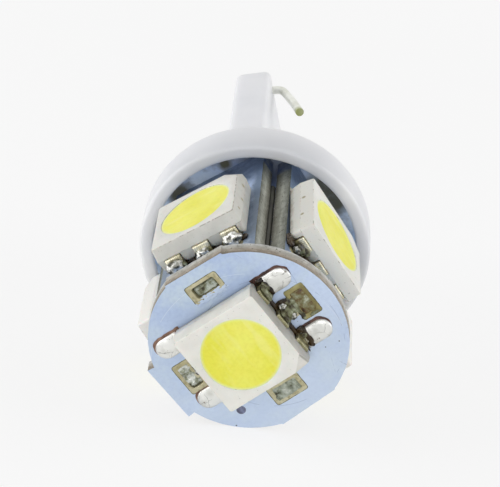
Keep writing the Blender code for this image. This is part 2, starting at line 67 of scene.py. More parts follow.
def frame_of(across, along, origin):
    """Matrix from millimetres in a piece's own axes to the frame's metres."""
    out = across.cross(along).normalized()
    turn = Matrix((across, out.cross(across), out)).transposed().to_4x4()
    return Matrix.Translation(origin) @ turn @ Matrix.Scale(MM, 4)


chips = [middle("chip_resistor_" + label) for label in LABELS]
bulb = frame_of((chips[0] - chips[2]).normalized(), (chips[1] - chips[3]).normalized(),
                sum(chips, Vector()) / 4)
AXIS = bulb.to_3x3().col[2].normalized()
bulb.translation += AXIS * (reach("head_board", AXIS) - AXIS.dot(bulb.translation))


def ink(code):
    """Linear colour of an sRGB hex value."""
    parts = [int(code[i:i + 2], 16) / 255 for i in (1, 3, 5)]
    return tuple(c / 12.92 if c <= 0.04045 else ((c + 0.055) / 1.055) ** 2.4 for c in parts) + (1,)


def add(tree, kind, values=(), output=0):
    """An output of a new node, with its settings and its inputs' values or links."""
    node = tree.nodes.new(kind)
    for key, value in dict(values).items():
        if isinstance(key, str) and hasattr(node, key):
            setattr(node, key, value)
        elif isinstance(value, bpy.types.NodeSocket):
            tree.links.new(value, node.inputs[key])
        else:
            node.inputs[key].default_value = value
    return node.outputs[output] if node.outputs else None


class Look:
    """A material in the making, with its colour so far. place is a point in the
    piece's own millimetres, and grain the same shifted, so that like pieces
    differ. Scales are per millimetre; a vector that isn't given is the grain."""

    def __init__(self, name, **sockets):
        self.mat = bpy.data.materials.new(name)
        self.mat.use_nodes = True
        self.tree = self.mat.node_tree
        self.shader = self.tree.nodes["Principled BSDF"]
        for key, value in sockets.items():
            self.shader.inputs[key.replace("_", " ")].default_value = value
        self.place = self.node("Attribute", {"attribute_name": "place"}, "Vector")
        self.grain = self.node("Attribute", {"attribute_name": "grain"}, "Vector")

    def node(self, kind, values=(), output=0):
        return add(self.tree, "ShaderNode" + kind, values, output)

    def axis(self, letter):
        return self.node("SeparateXYZ", {0: self.place}, letter)

    def sum(self, operation, *values):
        """Arithmetic on outputs and numbers."""
        return self.node("Math", {"operation": operation, **dict(enumerate(values))})

    def vector_sum(self, operation, first, second=None, output="Value"):
        values = {"operation": operation, 0: first}
        return self.node("VectorMath", values if second is None else {**values, 1: second}, output)

    def span(self, value, start, stop, top=1, low=0, **more):
        """An amount that is low at start and top at stop and beyond."""
        return self.node("MapRange", {"Value": value, "From Min": start, "From Max": stop,
                                      "To Min": low, "To Max": top, **more})

    def wander(self, scale, detail, vector=None, rough=0.5):
        return self.node("TexNoise", {"Vector": vector or self.grain, "Scale": scale, "Detail": detail,
                                      "Roughness": rough}, "Fac")

    def stretched(self, vector, scale, turn=(0, 0, 0)):
        return self.node("Mapping", {"Vector": vector, "Rotation": turn, "Scale": scale})

    def graded(self, value, stops):
        """Colour read off a scale of (position, sRGB tone) stops."""
        colour = self.node("ValToRGB", {"Fac": value})
        scale = colour.node.color_ramp.elements
        while len(scale) < len(stops):
            scale.new(0.5)
        for element, (position, tone) in zip(scale, stops):
            element.position = position
            element.color = ink(tone)
        return colour

    def tones(self, scale, low, high, detail=3, ends=(0.35, 0.65), vector=None):
        """Colour that wanders between two sRGB tones."""
        return self.graded(self.wander(scale, detail, vector), ((ends[0], low), (ends[1], high)))

    def speckle(self, scale, low, high, detail=3, vector=None, top=1):
        """Amount that is full only on scattered grains."""
        return self.span(self.wander(scale, detail, vector, 0.6), low, high, top)

    def ragged(self, amount, scale, edge):
        """An amount broken up by grain, so that a stain has no round outline."""
        total = self.sum("ADD", self.wander(scale, 5, None, 0.65), amount)
        return self.span(total, 1 - edge, 1 + edge)

    def line(self, value, level, width, top=1, heart=0):
        """Amount on a line where a value is at a level."""
        off = self.sum("ABSOLUTE", self.sum("SUBTRACT", value, level))
        return self.span(off, width, heart, top)

    def near(self, spots):
        """Amount in soft round spots (x, y, z, radius)."""
        total = 0
        for *centre, radius in spots:
            gap = self.vector_sum("DISTANCE", self.place, centre)
            total = self.sum("MAXIMUM", total, self.span(gap, radius, radius * 0.35))
        return total

    def over(self, amount, tone, kind="MIX"):
        """Lay a tone over the colour so far by an amount."""
        second = ink(tone) if isinstance(tone, str) else tone
        self.colour = self.node("Mix", {"data_type": "RGBA", "blend_type": kind, 0: amount,
                                        6: self.colour, 7: second}, 2)

    def base(self, *tones):
        self.colour = self.tones(*tones)

    def tint(self, amount, *tones):
        """Multiply the colour so far by wandering tones."""
        self.over(amount, self.tones(*tones), "MULTIPLY")

    def done(self, scale, depth, rough, detail=4, vector=None):
        """The material: its colour, dents of a depth in mm, and a gloss to match."""
        dents = self.wander(scale, detail, vector)
        self.bump = self.node("Bump", {"Height": dents, "Strength": 1, "Distance": depth * MM})
        gloss = self.span(dents, 0.3, 0.7, rough[1], rough[0])
        for key, source in (("Base Color", self.colour), ("Normal", self.bump), ("Roughness", gloss)):
            self.tree.links.new(source, self.shader.inputs[key])
        return self.mat


def laminate_edge(name, layers, bare=0):
    """Snapped glass laminate, edge on: matt resin and glass in layers, with torn
    fibres, a cleaner edge towards +X where bare, and painted blue shade on the feet."""
    look = Look(name, Roughness=0.62, IOR=1.55)
    along = look.stretched(look.grain, (0.5, 0.5, 3.4))
    drift = look.sum("MULTIPLY_ADD", look.wander(1, 2, along), -0.32, 0.16)
    look.colour = look.graded(look.span(look.sum("ADD", look.axis("Z"), drift), 0, -BOARD_T), layers)
    look.tint(0.5, 1.6, "#B4B4AC", "#FFFFFF", 3, (0.3, 0.62), along)
    look.tint(0.55, 2.4, "#C2C2BA", "#FFFFFF", 5, (0.36, 0.6))
    look.over(look.speckle(5.5, 0.6, 0.7), "#5C5A4D")
    look.over(look.speckle(7, 0.64, 0.72, 3, along), "#D6D5CA")
    look.over(look.span(look.axis("X"), 2.2, 2.7, bare), "#D3D8E2")
    # Painted shade: dark blue on the feet, down in the cup.
    look.over(look.ragged(look.span(look.axis("Y"), -10.5, -11, 0.66), 1.6, 0.3), "#56668C")
    return look.done(6, 0.05, (0.5, 0.75), 4, along)


def blue_mask(name, edge_shade_and_grime, scratches=()):
    """Baked blue solder mask: half gloss, cloudy, with flux haze and scratches, and painted shade and light
    laid by place.
    """
    look = Look(name, Roughness=0.36, IOR=1.52)
    look.base(0.22, "#B2C5E4", "#C6D6F0")
    look.over(look.speckle(0.5, 0.44, 0.66, 4), "#C6D6E6")
    look.tint(0.8, 5, "#F0F2F6", "#FFFFFF", 3, (0.3, 0.6))
    if edge_shade_and_grime:
        # Side boards: painted shade, with some grime, near the tower's corners and low down towards the
        # cup.
        corner_shade_and_grime = look.span(look.sum("ABSOLUTE", look.axis("X")), 1.95, 2.6, 0.85)
        look.over(look.ragged(corner_shade_and_grime, 1.2, 0.25), "#74849A")
        look.over(look.ragged(look.span(look.axis("Y"), -8.2, -9.6, 0.62), 1.6, 0.25), "#7385A2")
    else:
        # Head: lighter towards -Y, painted light.
        look.over(look.span(look.axis("Y"), 3, -5, 0.5), "#D6E2F2")
    specks = look.node("TexVoronoi", {"Vector": look.grain, "Scale": 1.35, "Randomness": 1}, "Distance")
    look.over(look.span(specks, 0.065, 0.04), "#2E3138")
    for x, y, radius, width, tone in scratches:
        gap = look.vector_sum("DISTANCE", look.place, (x, y, 0))
        keep = look.span(look.wander(0.9, 2), 0.5, 0.56, 0.7)
        look.over(look.sum("MULTIPLY", look.line(gap, radius, width, 1, width * 0.3), keep), tone)
    return look.done(5, 0.006, (0.3, 0.44), 3)


def linked(obj):
    bpy.context.scene.collection.objects.link(obj)
    return obj


def put(name, bm, place, mats, slot, shift, smooth, *nodes):
    """Finish a mesh drawn in its own millimetres: keep those as attributes for
    its materials, move it to the frame, and ride the root."""
    seat = bm.verts.layers.float_vector.new("place")
    grain = bm.verts.layers.float_vector.new("grain")
    for vert in bm.verts:
        vert[seat] = vert.co
        vert[grain] = vert.co + Vector((shift, shift * 0.7, -shift * 0.4))
    bmesh.ops.recalc_face_normals(bm, faces=bm.faces)
    bm.transform(place)
    mesh = bpy.data.meshes.new(name)
    bm.to_mesh(mesh)
    bm.free()
    for mat in mats:
        mesh.materials.append(mat)
    mesh.shade_smooth()
    mesh.set_sharp_from_angle(angle=radians(smooth))
    obj = linked(bpy.data.objects.new(name, mesh))
    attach(obj, "root")
    if nodes:
        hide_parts(*nodes)


def ripple(*point):
    return noise.noise(Vector(point))


def plate(bm, loops, thick, jitter):
    """Flat board with holes: loops[0] is the outline, the rest are holes.
    Its upper face is at Z = 0; edge faces take the second material."""
    edges = []
    for number, loop in enumerate(loops):
        verts = []
        for x, y in loop:
            wobble = noise.noise_vector(Vector((x * 4.1, y * 4.1, number * 3.7 + thick))) * jitter
            verts.append(bm.verts.new((x + wobble.x, y + wobble.y, 0)))
        for i in range(len(verts)):
            edges.append(bm.edges.new((verts[i], verts[(i + 1) % len(verts)])))
    bmesh.ops.triangle_fill(bm, use_beauty=True, use_dissolve=False, edges=edges, normal=(0, 0, 1))
    out = bmesh.ops.extrude_face_region(bm, geom=list(bm.faces), use_keep_orig=True)
    low = [item for item in out["geom"] if isinstance(item, bmesh.types.BMVert)]
    bmesh.ops.translate(bm, verts=low, vec=(0, 0, -thick))
    for face in bm.faces:
        heights = [v.co.z for v in face.verts]
        face.material_index = 1 if max(heights) - min(heights) > thick * 0.5 else 0


def stepped(points, step):
    """A closed outline with points no further apart than step."""
    result = []
    for i, (x, y) in enumerate(points):
        far_x, far_y = points[(i + 1) % len(points)]
        count = max(1, round(hypot(far_x - x, far_y - y) / step))
        for k in range(count):
            result.append((x + (far_x - x) * k / count, y + (far_y - y) * k / count))
    return result


def board_frame(quarter):
    """Axes of a side board: X round the tower, Y to the head, Z outwards."""
    turn = Matrix.Rotation(quarter * pi / 2, 4, "Z")
    axes = Matrix(((0, 0, 1, TOWER_FACE), (1, 0, 0, 0), (0, 1, 0, 0), (0, 0, 0, 1)))
    return bulb @ turn @ axes


strip_layers = ((0, "#606255"), (0.14, "#90938A"), (0.45, "#C6C8BE"), (0.75, "#A8A89B"),
                (1, "#6A685E"))
side_half = TOWER_FACE - BOARD_T - TOWER_CORNER
foot = -reach("side_board_right", -AXIS) / MM - AXIS.dot(bulb.translation) / MM
shoulder = -BOARD_T - HEAD_GAP
tab_low, tab_high = TAB_OFF - TAB_HALF, TAB_OFF + TAB_HALF
strip = stepped([
    (-side_half, foot), (side_half, foot), (side_half, shoulder), (tab_high, shoulder),
    (tab_high, -TAB_BACK), (tab_low, -TAB_BACK), (tab_low, shoulder), (-side_half, shoulder)], 0.16)
for quarter, label in enumerate(LABELS):
    mats = [blue_mask("blue_mask_side_" + label, True),
            laminate_edge("snapped_strip_edge_" + label, strip_layers, 0.8 if label == "left" else 0)]
    bm = bmesh.new()
    plate(bm, [strip], BOARD_T, EDGE_RAGGED)
    put("tower_board_" + label, bm, board_frame(quarter), mats, "masked_laminate", 11 * quarter, 25,
        "side_board_" + label)


# Chip resistors. One on the inner face of each strip, in series with its
# string of lights: black glaze over a white ceramic chip, out of sight
# inside the tower. Their plain CAD blocks stay, with a real surface.
def resistor_glaze():
    """Screen-printed black overglaze, half gloss, pitted; scales are per metre."""
    look = Look("black_resistor_glaze", Roughness=0.35, IOR=1.5)
    look.grain = look.node("TexCoord", {}, "Object")
    look.base(900, "#101012", "#26262A")
    return look.done(3000, 0.01, (0.28, 0.45))


glaze = resistor_glaze()
for label in LABELS:
    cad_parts["chip_resistor_" + label].material_slots[0].material = glaze


# Light packages. White heat-resistant resin moulded round a folded lead
# frame, 5 mm square: belly line half way up, one corner cut for polarity,
# round reflector cup, a pocket in the wall for each lead.
LED_HALF = 2.5
LED_H = 1.6
LED_FOOT = 0.17
LED_BELLY_Z = 0.82
LED_CORNER = 0.13
LED_SOFT = 0.022         # round along the moulding's edges
CUP_TOP_R = 2.09
CUP_LOW_R = 1.75
CUP_DEPTH = 0.85
CUP_STEPS = 72
POLAR_LEG = 0.95
POLAR_DEPTH = 0.46
LEAD_PITCH = 1.67
LEAD_HALF = 0.45
LEAD_T = 0.14
LEAD_TOP = 0.77
LEAD_WALL = 2.53
LEAD_OUT = 0.15
POCKET_PLAY = 0.05
POCKET_FLARE = 0.3
POCKET_ROUND = 0.34
PACKAGES = LABELS + ("head",)


def package_frame(label):
    """A package's axes from its CAD leads: X along a row, Z off the board."""
    leads = [middle("led_lead_%s_%d" % (label, number)) for number in (1, 3, 2, 5)]
    seat = frame_of((leads[1] - leads[0]).normalized(), (leads[2] - leads[3]).normalized(),
                    (leads[2] + leads[3]) / 2)
    out = seat.to_3x3().col[2].normalized()
    seat.translation += out * (reach("led_body_" + label, out) - LED_H * MM - out.dot(seat.translation))
    return seat


def rounded(half_x, half_y, radius, steps=4):
    """Rectangle with round corners, counter-clockwise."""
    points = []
    for number, (sx, sy) in enumerate(((1, 1), (-1, 1), (-1, -1), (1, -1))):
        for i in range(steps + 1):
            a = pi / 2 * (number + i / steps)
            points.append((sx * (half_x - radius) + radius * cos(a),
                           sy * (half_y - radius) + radius * sin(a)))
    return points


def skin(rings, bm=None, hoop=False):
    """Faces between rings of points, closed at both ends, or into a hoop."""
    bm = bm or bmesh.new()
    loops = [[bm.verts.new(p) for p in ring] for ring in rings]
    if hoop:
        loops.append(loops[0])
    else:
        bm.faces.new(loops[0][::-1])
        bm.faces.new(loops[-1])
    for low, high in zip(loops, loops[1:]):
        for i in range(len(low)):
            j = (i + 1) % len(low)
            bm.faces.new((low[i], low[j], high[j], high[i]))
    return bm


def lathe(profile, steps, x=0, y=0):
    """A (radius, z) profile turned about an upright axis at x, y."""
    turns = [2 * pi * i / steps for i in range(steps)]
    return skin([[(x + r * cos(a), y + r * sin(a), z) for a in turns] for r, z in profile])


def loose(name, bm):
    """A mesh object in millimetres, for a modifier to work on."""
    mesh = bpy.data.meshes.new(name)
    bmesh.ops.recalc_face_normals(bm, faces=bm.faces)
    bm.to_mesh(mesh)
    bm.free()
    return linked(bpy.data.objects.new(name, mesh))


def worked(obj, *spares):
    """The mesh that an object's modifiers make, as a bmesh; the objects go."""
    graph = bpy.context.evaluated_depsgraph_get()
    mesh = bpy.data.meshes.new_from_object(obj.evaluated_get(graph))
    bm = bmesh.new()
    bm.from_mesh(mesh)
    bpy.data.meshes.remove(mesh)
    for item in (obj, *spares):
        bpy.data.objects.remove(item, do_unlink=True)
    return bm


def carve(obj, tool, kind="DIFFERENCE"):
    mod = obj.modifiers.new(tool.name, "BOOLEAN")
    mod.operation = kind
    mod.solver = "EXACT"
    mod.object = tool


def pocket_tools():
    """Cutters of the six lead pockets, flared where they meet the foot."""
    bm = bmesh.new()
    half = LEAD_HALF + POCKET_PLAY
    side = [(half + POCKET_FLARE, LED_FOOT - 0.1)]
    for i in range(9):
        a = pi / 2 * i / 8
        side.append((half + POCKET_FLARE * (1 - sin(a)), LED_FOOT + POCKET_ROUND * (1 - cos(a))))
    side.append((half, LEAD_TOP + 0.02))
    section = [(-x, z) for x, z in side] + list(reversed(side))
    for wall in (1, -1):
        for step in (-1, 0, 1):
            skin([[(step * LEAD_PITCH + x, wall * y, z) for x, z in section]
                  for y in (LEAD_WALL - 0.28, LED_HALF + 0.4)], bm)
    return loose("pocket_tool", bm)


def package_body():
    """Drafted square body with its polarity corner, cup and pockets cut."""
    levels = ((LED_FOOT, -0.06), (LED_FOOT + 0.05, -0.035), (LED_BELLY_Z - 0.02, 0.033),
              (LED_BELLY_Z, 0.038), (LED_BELLY_Z + 0.02, 0.033), (LED_H - 0.05, -0.035),
              (LED_H - 0.015, -0.055), (LED_H, -0.09))
    bm = skin([[(x, y, z) for x, y in rounded(LED_HALF + grow, LED_HALF + grow, LED_CORNER)]
               for z, grow in levels])
    way = Vector((-1 / POLAR_LEG, -1 / POLAR_LEG, 1 / POLAR_DEPTH)).normalized()
    cut = bmesh.ops.bisect_plane(bm, geom=[*bm.verts, *bm.edges, *bm.faces], plane_no=way, clear_outer=True,
                                 plane_co=(POLAR_LEG - LED_HALF, -LED_HALF, LED_H))
    rim = [item for item in cut["geom_cut"] if isinstance(item, bmesh.types.BMEdge)]
    bmesh.ops.edgeloop_fill(bm, edges=rim)
    body = loose("package", bm)
    above = 0.2
    top_r = CUP_TOP_R + (CUP_TOP_R - CUP_LOW_R) * above / CUP_DEPTH
    profile = ((CUP_LOW_R, LED_H - CUP_DEPTH), (CUP_TOP_R, LED_H), (top_r, LED_H + above))
    tools = [loose("cup_tool", lathe(profile, CUP_STEPS)), pocket_tools()]
    for tool in tools:
        carve(body, tool)
    soft = body.modifiers.new("edges", "BEVEL")
    soft.width = LED_SOFT
    soft.segments = 2
    soft.limit_method = "ANGLE"
    soft.angle_limit = radians(38)
    return worked(body, *tools)


def package_resin(name, face_low, face_high, wall, worn, low_wall_shade_and_smoke, foot, stubs=()):
    """White resin: satin, scuffed, with cut tie-bar stubs; its walls, -Y wall and foot carry painted shade,
    with some flux smoke.
    """
    look = Look(name, Roughness=0.4, IOR=1.53, Subsurface_Weight=0.12, Subsurface_Scale=0.0004)
    height = look.axis("Z")
    look.base(0.8, face_low, face_high, 4)
    # Wall tone below the top face: painted shade, set per package.
    walls = look.span(height, LED_H - 0.01, LED_H - 0.05)
    look.over(walls, look.tones(1.3, wall, face_low, 4, (0.4, 0.9)))
    # Darker on the -Y wall: painted shade, with some flux smoke.
    shaded_smoky_wall = look.span(look.axis("Y"), 0.14 - LED_HALF, 0.09 - LED_HALF, low_wall_shade_and_smoke)
    look.over(look.sum("MULTIPLY", shaded_smoky_wall, walls), look.tones(0.9, "#85837A", "#9B9992", 4))
    look.tint(0.55, 9, "#8C877C", "#FFFFFF", 3, (0.24, 0.33))
    for level, width in ((LED_H - 0.035, 0.03), (LED_BELLY_Z, 0.018)):
        scuffs = look.speckle(3.8, worn, worn + 0.1, 5)
        look.over(look.sum("MULTIPLY", look.line(height, level, width, 0.9), scuffs), "#7A745F")
    if stubs:
        spots = [(side * (LED_HALF + 0.03), y, z, size) for side in (1, -1) for y, z, size in stubs]
        look.over(look.ragged(look.near(spots), 2.6, 0.3), "#A39B7C")
    # Darker towards the foot: painted shade, with some flux smoke.
    look.over(look.ragged(look.span(height, 0.62, 0.18, foot), 1.7, 0.22), "#8A8575")
    return look.done(6, 0.008, (0.34, 0.5))


seats = {label: package_frame(label) for label in PACKAGES}
# Face tones and wall tone, lighter or darker per package as painted light and shade, where scuffs start,
# painted shade with smoke on the low wall, painted shade with smoke at the foot, and the stubs that show
resin_looks = {
    "left": ("#D6D5CE", "#DFDED8", "#C4C3BB", 0.45, 0, 0.42,
             ((-1.3, 1.00, 0.2), (0.25, 0.96, 0.16), (1.5, 1.12, 0.15))),
    "right": ("#DCDBD5", "#E6E5DF", "#DDDCD4", 0.52, 0, 0.66, ((-0.75, 1.02, 0.16), (0.95, 0.94, 0.15))),
    "head": ("#E2E1DA", "#ECEBE5", "#CFCEC6", 0.58, 0.8, 0.66),
    "low_left": ("#EAE9E3", "#F0EFEA", "#EAE9E3", 0.58, 0, 0.5),
    "low_right": ("#EAE9E3", "#F0EFEA", "#F2F1EC", 0.58, 0, 0.5)}
body_form = package_body()
for number, label in enumerate(PACKAGES):
    resin = package_resin("white_package_resin_" + label, *resin_looks[label])
    put("package_" + label, body_form.copy(), seats[label], [resin], "package_resin", 7 * number, 32,
        "led_body_" + label)
body_form.free()


# Phosphor fill. Clear silicone loaded with yellow phosphor, poured into the
# cup over the dies and cured: rubbery, nearly flush, slightly dished, with a
# soft paler edge where it thins against the white wall.
FILL_DOWN = 0.035
FILL_LUMP = 0.012
FILL_PLAY = 0.012
FILL_RINGS = 14


def phosphor():
    """Yellow phosphor in silicone: deep, soft and faintly blotched."""
    look = Look("phosphor_silicone", Roughness=0.38, IOR=1.41, Specular_IOR_Level=0.35,
                Subsurface_Weight=0.25, Subsurface_Scale=0.0003)
    look.base(0.55, "#EBE752", "#F2F070", 2, (0.34, 0.66))
    look.tint(0.6, 6, "#F8F7EC", "#FFFFFF", 2, (0.35, 0.6))
    slant = look.stretched(look.grain, (0.35, 1.6, 1), (0, 0, 0.9))
    look.over(look.speckle(1, 0.52, 0.68, 2, slant, 0.32), "#F6F4A4")
    flat = look.vector_sum("MULTIPLY", look.place, (1, 1, 0), "Vector")
    out = look.vector_sum("LENGTH", flat)
    look.over(look.span(out, 1.9, 2.1, 0.75, interpolation_type="SMOOTHSTEP"), "#F3F1BE")
    return look.done(3, 0.01, (0.32, 0.46), 3)


def fill_form(shift):
    """Disc of the fill down to the cup's floor, with a gently lumpy surface."""
    turns = [2 * pi * i / CUP_STEPS for i in range(CUP_STEPS)]
    rings = [[(CUP_LOW_R * cos(a), CUP_LOW_R * sin(a), LED_H - CUP_DEPTH) for a in turns]]
    for step in range(FILL_RINGS, 0, -1):
        share = step / FILL_RINGS
        ring = []
        for a in turns:
            x, y = ((CUP_TOP_R - FILL_PLAY) * share * c for c in (cos(a), sin(a)))
            lump = ripple(x * 0.9 + shift, y * 0.9, shift) * FILL_LUMP * (1 - share)
            ring.append((x, y, LED_H - FILL_DOWN * (1.4 - 0.4 * share ** 4) + lump))
        rings.append(ring)
    return skin(rings)


silicone = phosphor()
for number, label in enumerate(PACKAGES):
    put("phosphor_" + label, fill_form(3 * number), seats[label], [silicone], "phosphor_silicone",
        5 * number, 60, "led_fill_" + label)


# Folded leads. Six to a package, stamped from one strip of copper alloy with
# a thin gold flash: each comes out of its pocket, turns down the wall and
# under the body. The strip's die lines show across their tops.
LEAD_IN = 0.26
LEAD_FOOT = 0.75
LEAD_BEND = 0.07
LEAD_LOW = 0.01          # gap under the foot


def one_lead():
    """The middle lead of the +Y wall, as a strip with round outer bends."""
    outer = LEAD_WALL + LEAD_OUT
    inner = LEAD_WALL - LEAD_IN
    under = outer - LEAD_T - LEAD_FOOT
    side = [(inner, LEAD_TOP - LEAD_T), (outer - LEAD_T, LEAD_TOP - LEAD_T),
            (outer - LEAD_T, LEAD_LOW + LEAD_T), (under, LEAD_LOW + LEAD_T), (under, LEAD_LOW)]
    for start, z in ((-90, LEAD_LOW + LEAD_BEND), (0, LEAD_TOP - LEAD_BEND)):
        for i in range(5):
            a = radians(start + 90 * i / 4)
            side.append((outer - LEAD_BEND + LEAD_BEND * cos(a), z + LEAD_BEND * sin(a)))
    side.append((inner, LEAD_TOP))
    ends = ((-LEAD_HALF, 0.02), (0.02 - LEAD_HALF, 0), (LEAD_HALF - 0.02, 0), (LEAD_HALF, 0.02))
    return loose("lead", skin([[(x, y - inset * (y > inner + 0.1), z) for y, z in side]
                               for x, inset in ends]))


def open_tree(name, inputs):
    """A geometry node tree with named inputs after its geometry."""
    tree = bpy.data.node_groups.new(name, "GeometryNodeTree")
    for key, kind in {"Geometry": "Geometry", **inputs}.items():
        tree.interface.new_socket(key, in_out="INPUT", socket_type="NodeSocket" + kind)
    tree.interface.new_socket("Geometry", in_out="OUTPUT", socket_type="NodeSocketGeometry")
    return tree, add(tree, "NodeGroupInput").node.outputs


def close_tree(tree, made, metal):
    """Make what a tree made real, give it its metal, and hand it out."""
    real = add(tree, "GeometryNodeRealizeInstances", {0: made})
    painted = add(tree, "GeometryNodeSetMaterial", {"Geometry": real, "Material": metal})
    add(tree, "NodeGroupOutput", {0: painted})
    return tree


def lead_rows_tree():
    """Two rows of leads: one lead repeated along the wall, then turned round."""
    tree, source = open_tree("lead_rows", {"Pitch": "Float", "Leads in a row": "Int", "Flash": "Material"})
    count, pitch = source["Leads in a row"], source["Pitch"]
    gaps = add(tree, "ShaderNodeMath", {"operation": "SUBTRACT", 0: count, 1: 1})
    span = add(tree, "ShaderNodeMath", {"operation": "MULTIPLY", 0: gaps, 1: pitch})
    half = add(tree, "ShaderNodeMath", {"operation": "MULTIPLY", 0: span, 1: -0.5})
    start = add(tree, "ShaderNodeCombineXYZ", {"X": half})
    stride = add(tree, "ShaderNodeCombineXYZ", {"X": pitch})
    line = add(tree, "GeometryNodeMeshLine", {"Count": count, "Start Location": start, "Offset": stride})
    row = add(tree, "GeometryNodeInstanceOnPoints", {"Points": line, "Instance": source["Geometry"]})
    turned = add(tree, "GeometryNodeTransform", {"Geometry": row, "Rotation": (0, 0, pi)})
    both = add(tree, "GeometryNodeJoinGeometry", {0: row})
    tree.links.new(turned, both.node.inputs[0])
    return close_tree(tree, both, source["Flash"])


def run_tree(obj, tree, values):
    """Geometry that a node tree makes on an object, as a bmesh."""
    mod = obj.modifiers.new(tree.name, "NODES")
    mod.node_group = tree
    for item in tree.interface.items_tree:
        if item.in_out == "INPUT" and item.name in values:
            mod[item.identifier] = values[item.name]
    return worked(obj)


def gold_flash(name, crown_low, crown_high):
    """Thin gold over nickel, dulled, with fine die lines and baked-on flux."""
    look = Look(name, Metallic=0.85, Roughness=0.4)
    height = look.axis("Z")
    look.base(2.2, "#857C54", "#BDB488", 4, (0.32, 0.6))
    crown = look.tones(2.8, crown_low, crown_high, 4, (0.32, 0.6))
    look.over(look.span(height, LEAD_TOP - 0.34, LEAD_TOP - 0.26), crown)
    slant = look.stretched(look.place, (1, 0.2, 0.25), (0, 0.5, 0))
    hatch = look.node("TexWave", {"Vector": slant, "Scale": 3.4, "Distortion": 2.2, "Detail": 3,
                                  "Detail Scale": 2}, "Fac")
    look.over(look.span(hatch, 0.34, 0.1, 0.26), "#6B6440")
    look.over(look.ragged(look.span(height, 0.5, 0.1, 0.66), 3, 0.2), "#4F482E")
    look.done(7, 0.01, (0.3, 0.5), 3)
    ridge = look.node("Bump", {
        "Height": hatch, "Normal": look.bump, "Strength": 0.6, "Distance": 0.01 * MM})
    look.tree.links.new(ridge, look.shader.inputs["Normal"])
    return look.mat


flash = gold_flash("gold_flash", "#C9C2A2", "#EAE5CE")
dull_flash = gold_flash("gold_flash_under_flux", "#7F7B5C", "#ACA888")
lead_set = run_tree(one_lead(), lead_rows_tree(), {
    "Pitch": LEAD_PITCH, "Leads in a row": 3, "Flash": flash})
for number, label in enumerate(PACKAGES):
    put("leads_" + label, lead_set.copy(), seats[label], [dull_flash if label == "head" else flash],
        "flashed_lead", 4 * number, 30, *("led_lead_%s_%d" % (label, n) for n in range(1, 7)))
lead_set.free()


# Lead solder. Each lead sits on a plated pad, wetted by tin that climbs its
# outer face: bright fillets where it ran well, lumps and grey crust where it
# was reheated, with brown flux left between.
PAD_HALF = 0.52
PAD_OUT = 0.62
PAD_UP = 0.006


def tin_solder():
    """Reflowed tin: bright, dimpled, with grey pits and black flux grains."""
    look = Look("reflowed_tin", Metallic=0.9, Roughness=0.36)
    look.base(5, "#8A8A80", "#E6E6E2", 5, (0.38, 0.6))
    look.tint(0.85, 3, "#38362C", "#FFFFFF", 5, (0.4, 0.5))
    return look.done(6.5, 0.05, (0.28, 0.5))


def burnt_flux():
    """Rosin flux cooked black-brown: glassy where thick, olive where thin."""
    look = Look("burnt_flux", Roughness=0.22, IOR=1.52, Specular_IOR_Level=0.3)
    look.base(2.2, "#120B07", "#43341F", 4, (0.38, 0.68))
    return look.done(3, 0.02, (0.12, 0.36), 2)


def thin_flux():
    """Thin rosin flux: olive to moss green, crazed and half matt."""
    look = Look("thin_flux", Roughness=0.4, IOR=1.52)
    stops = ((0.36, "#1D160D"), (0.46, "#4A462A"), (0.56, "#757858"), (0.7, "#AEB49C"))
    look.colour = look.graded(look.wander(2.4, 5), stops)
    return look.done(4, 0.05, (0.2, 0.55))


def plated_pad(name, stains):
    """Gold-flashed copper, pale tan under thin flux, olive where it lay thick."""
    look = Look(name, Metallic=0.35, Roughness=0.42)
    look.base(1.3, "#B3AB86", "#CDC7A8", 4)
    look.tint(0.6, 4, "#A39A78", "#FFFFFF", 4, (0.3, 0.5))
    if stains:
        look.over(look.near(stains), look.tones(1.6, "#7C7347", "#A39B68", 4))
    return look.done(4, 0.02, (0.34, 0.55))


def blob(bm, centre, sizes, seed, rough, power=2):
    """Lumpy closed drop: an ellipsoid pushed about by noise."""
    start = len(bm.verts)
    bmesh.ops.create_icosphere(bm, subdivisions=4, radius=1)
    bm.verts.ensure_lookup_table()
    for vert in bm.verts[start:]:
        way = vert.co.normalized()
        square = sum(abs(c) ** power for c in way) ** (-1 / power)
        push = 1 + rough * noise.noise(way * 1.7 + Vector((seed, seed * 0.3, -seed)))
        push += rough * 0.35 * noise.noise(way * 5 + Vector((seed, 0, seed)))
        vert.co = Vector(centre) + way * square * push * Vector(sizes)


tin = tin_solder()
flux = burnt_flux()
film = thin_flux()
pad_plating = plated_pad("plated_pad", ())
# In hundredths of a millimetre: drops that show, by package, wall and lead, as
# place along the wall, out and up, and half sizes
drops = {("left", 1, -1): (-2, 24, 28, 52, 38, 38),
         ("left", 1, 0): (2, 18, 30, 38, 24, 26),
         ("left", 1, 1): (2, 22, 32, 50, 36, 36),
         ("right", 1, 1): (10, 22, 18, 24, 22, 20),
         ("right", 1, 0): (0, 16, 20, 50, 26, 30),
         ("head", -1, 0): (42, 20, 18, 19, 18, 17)}
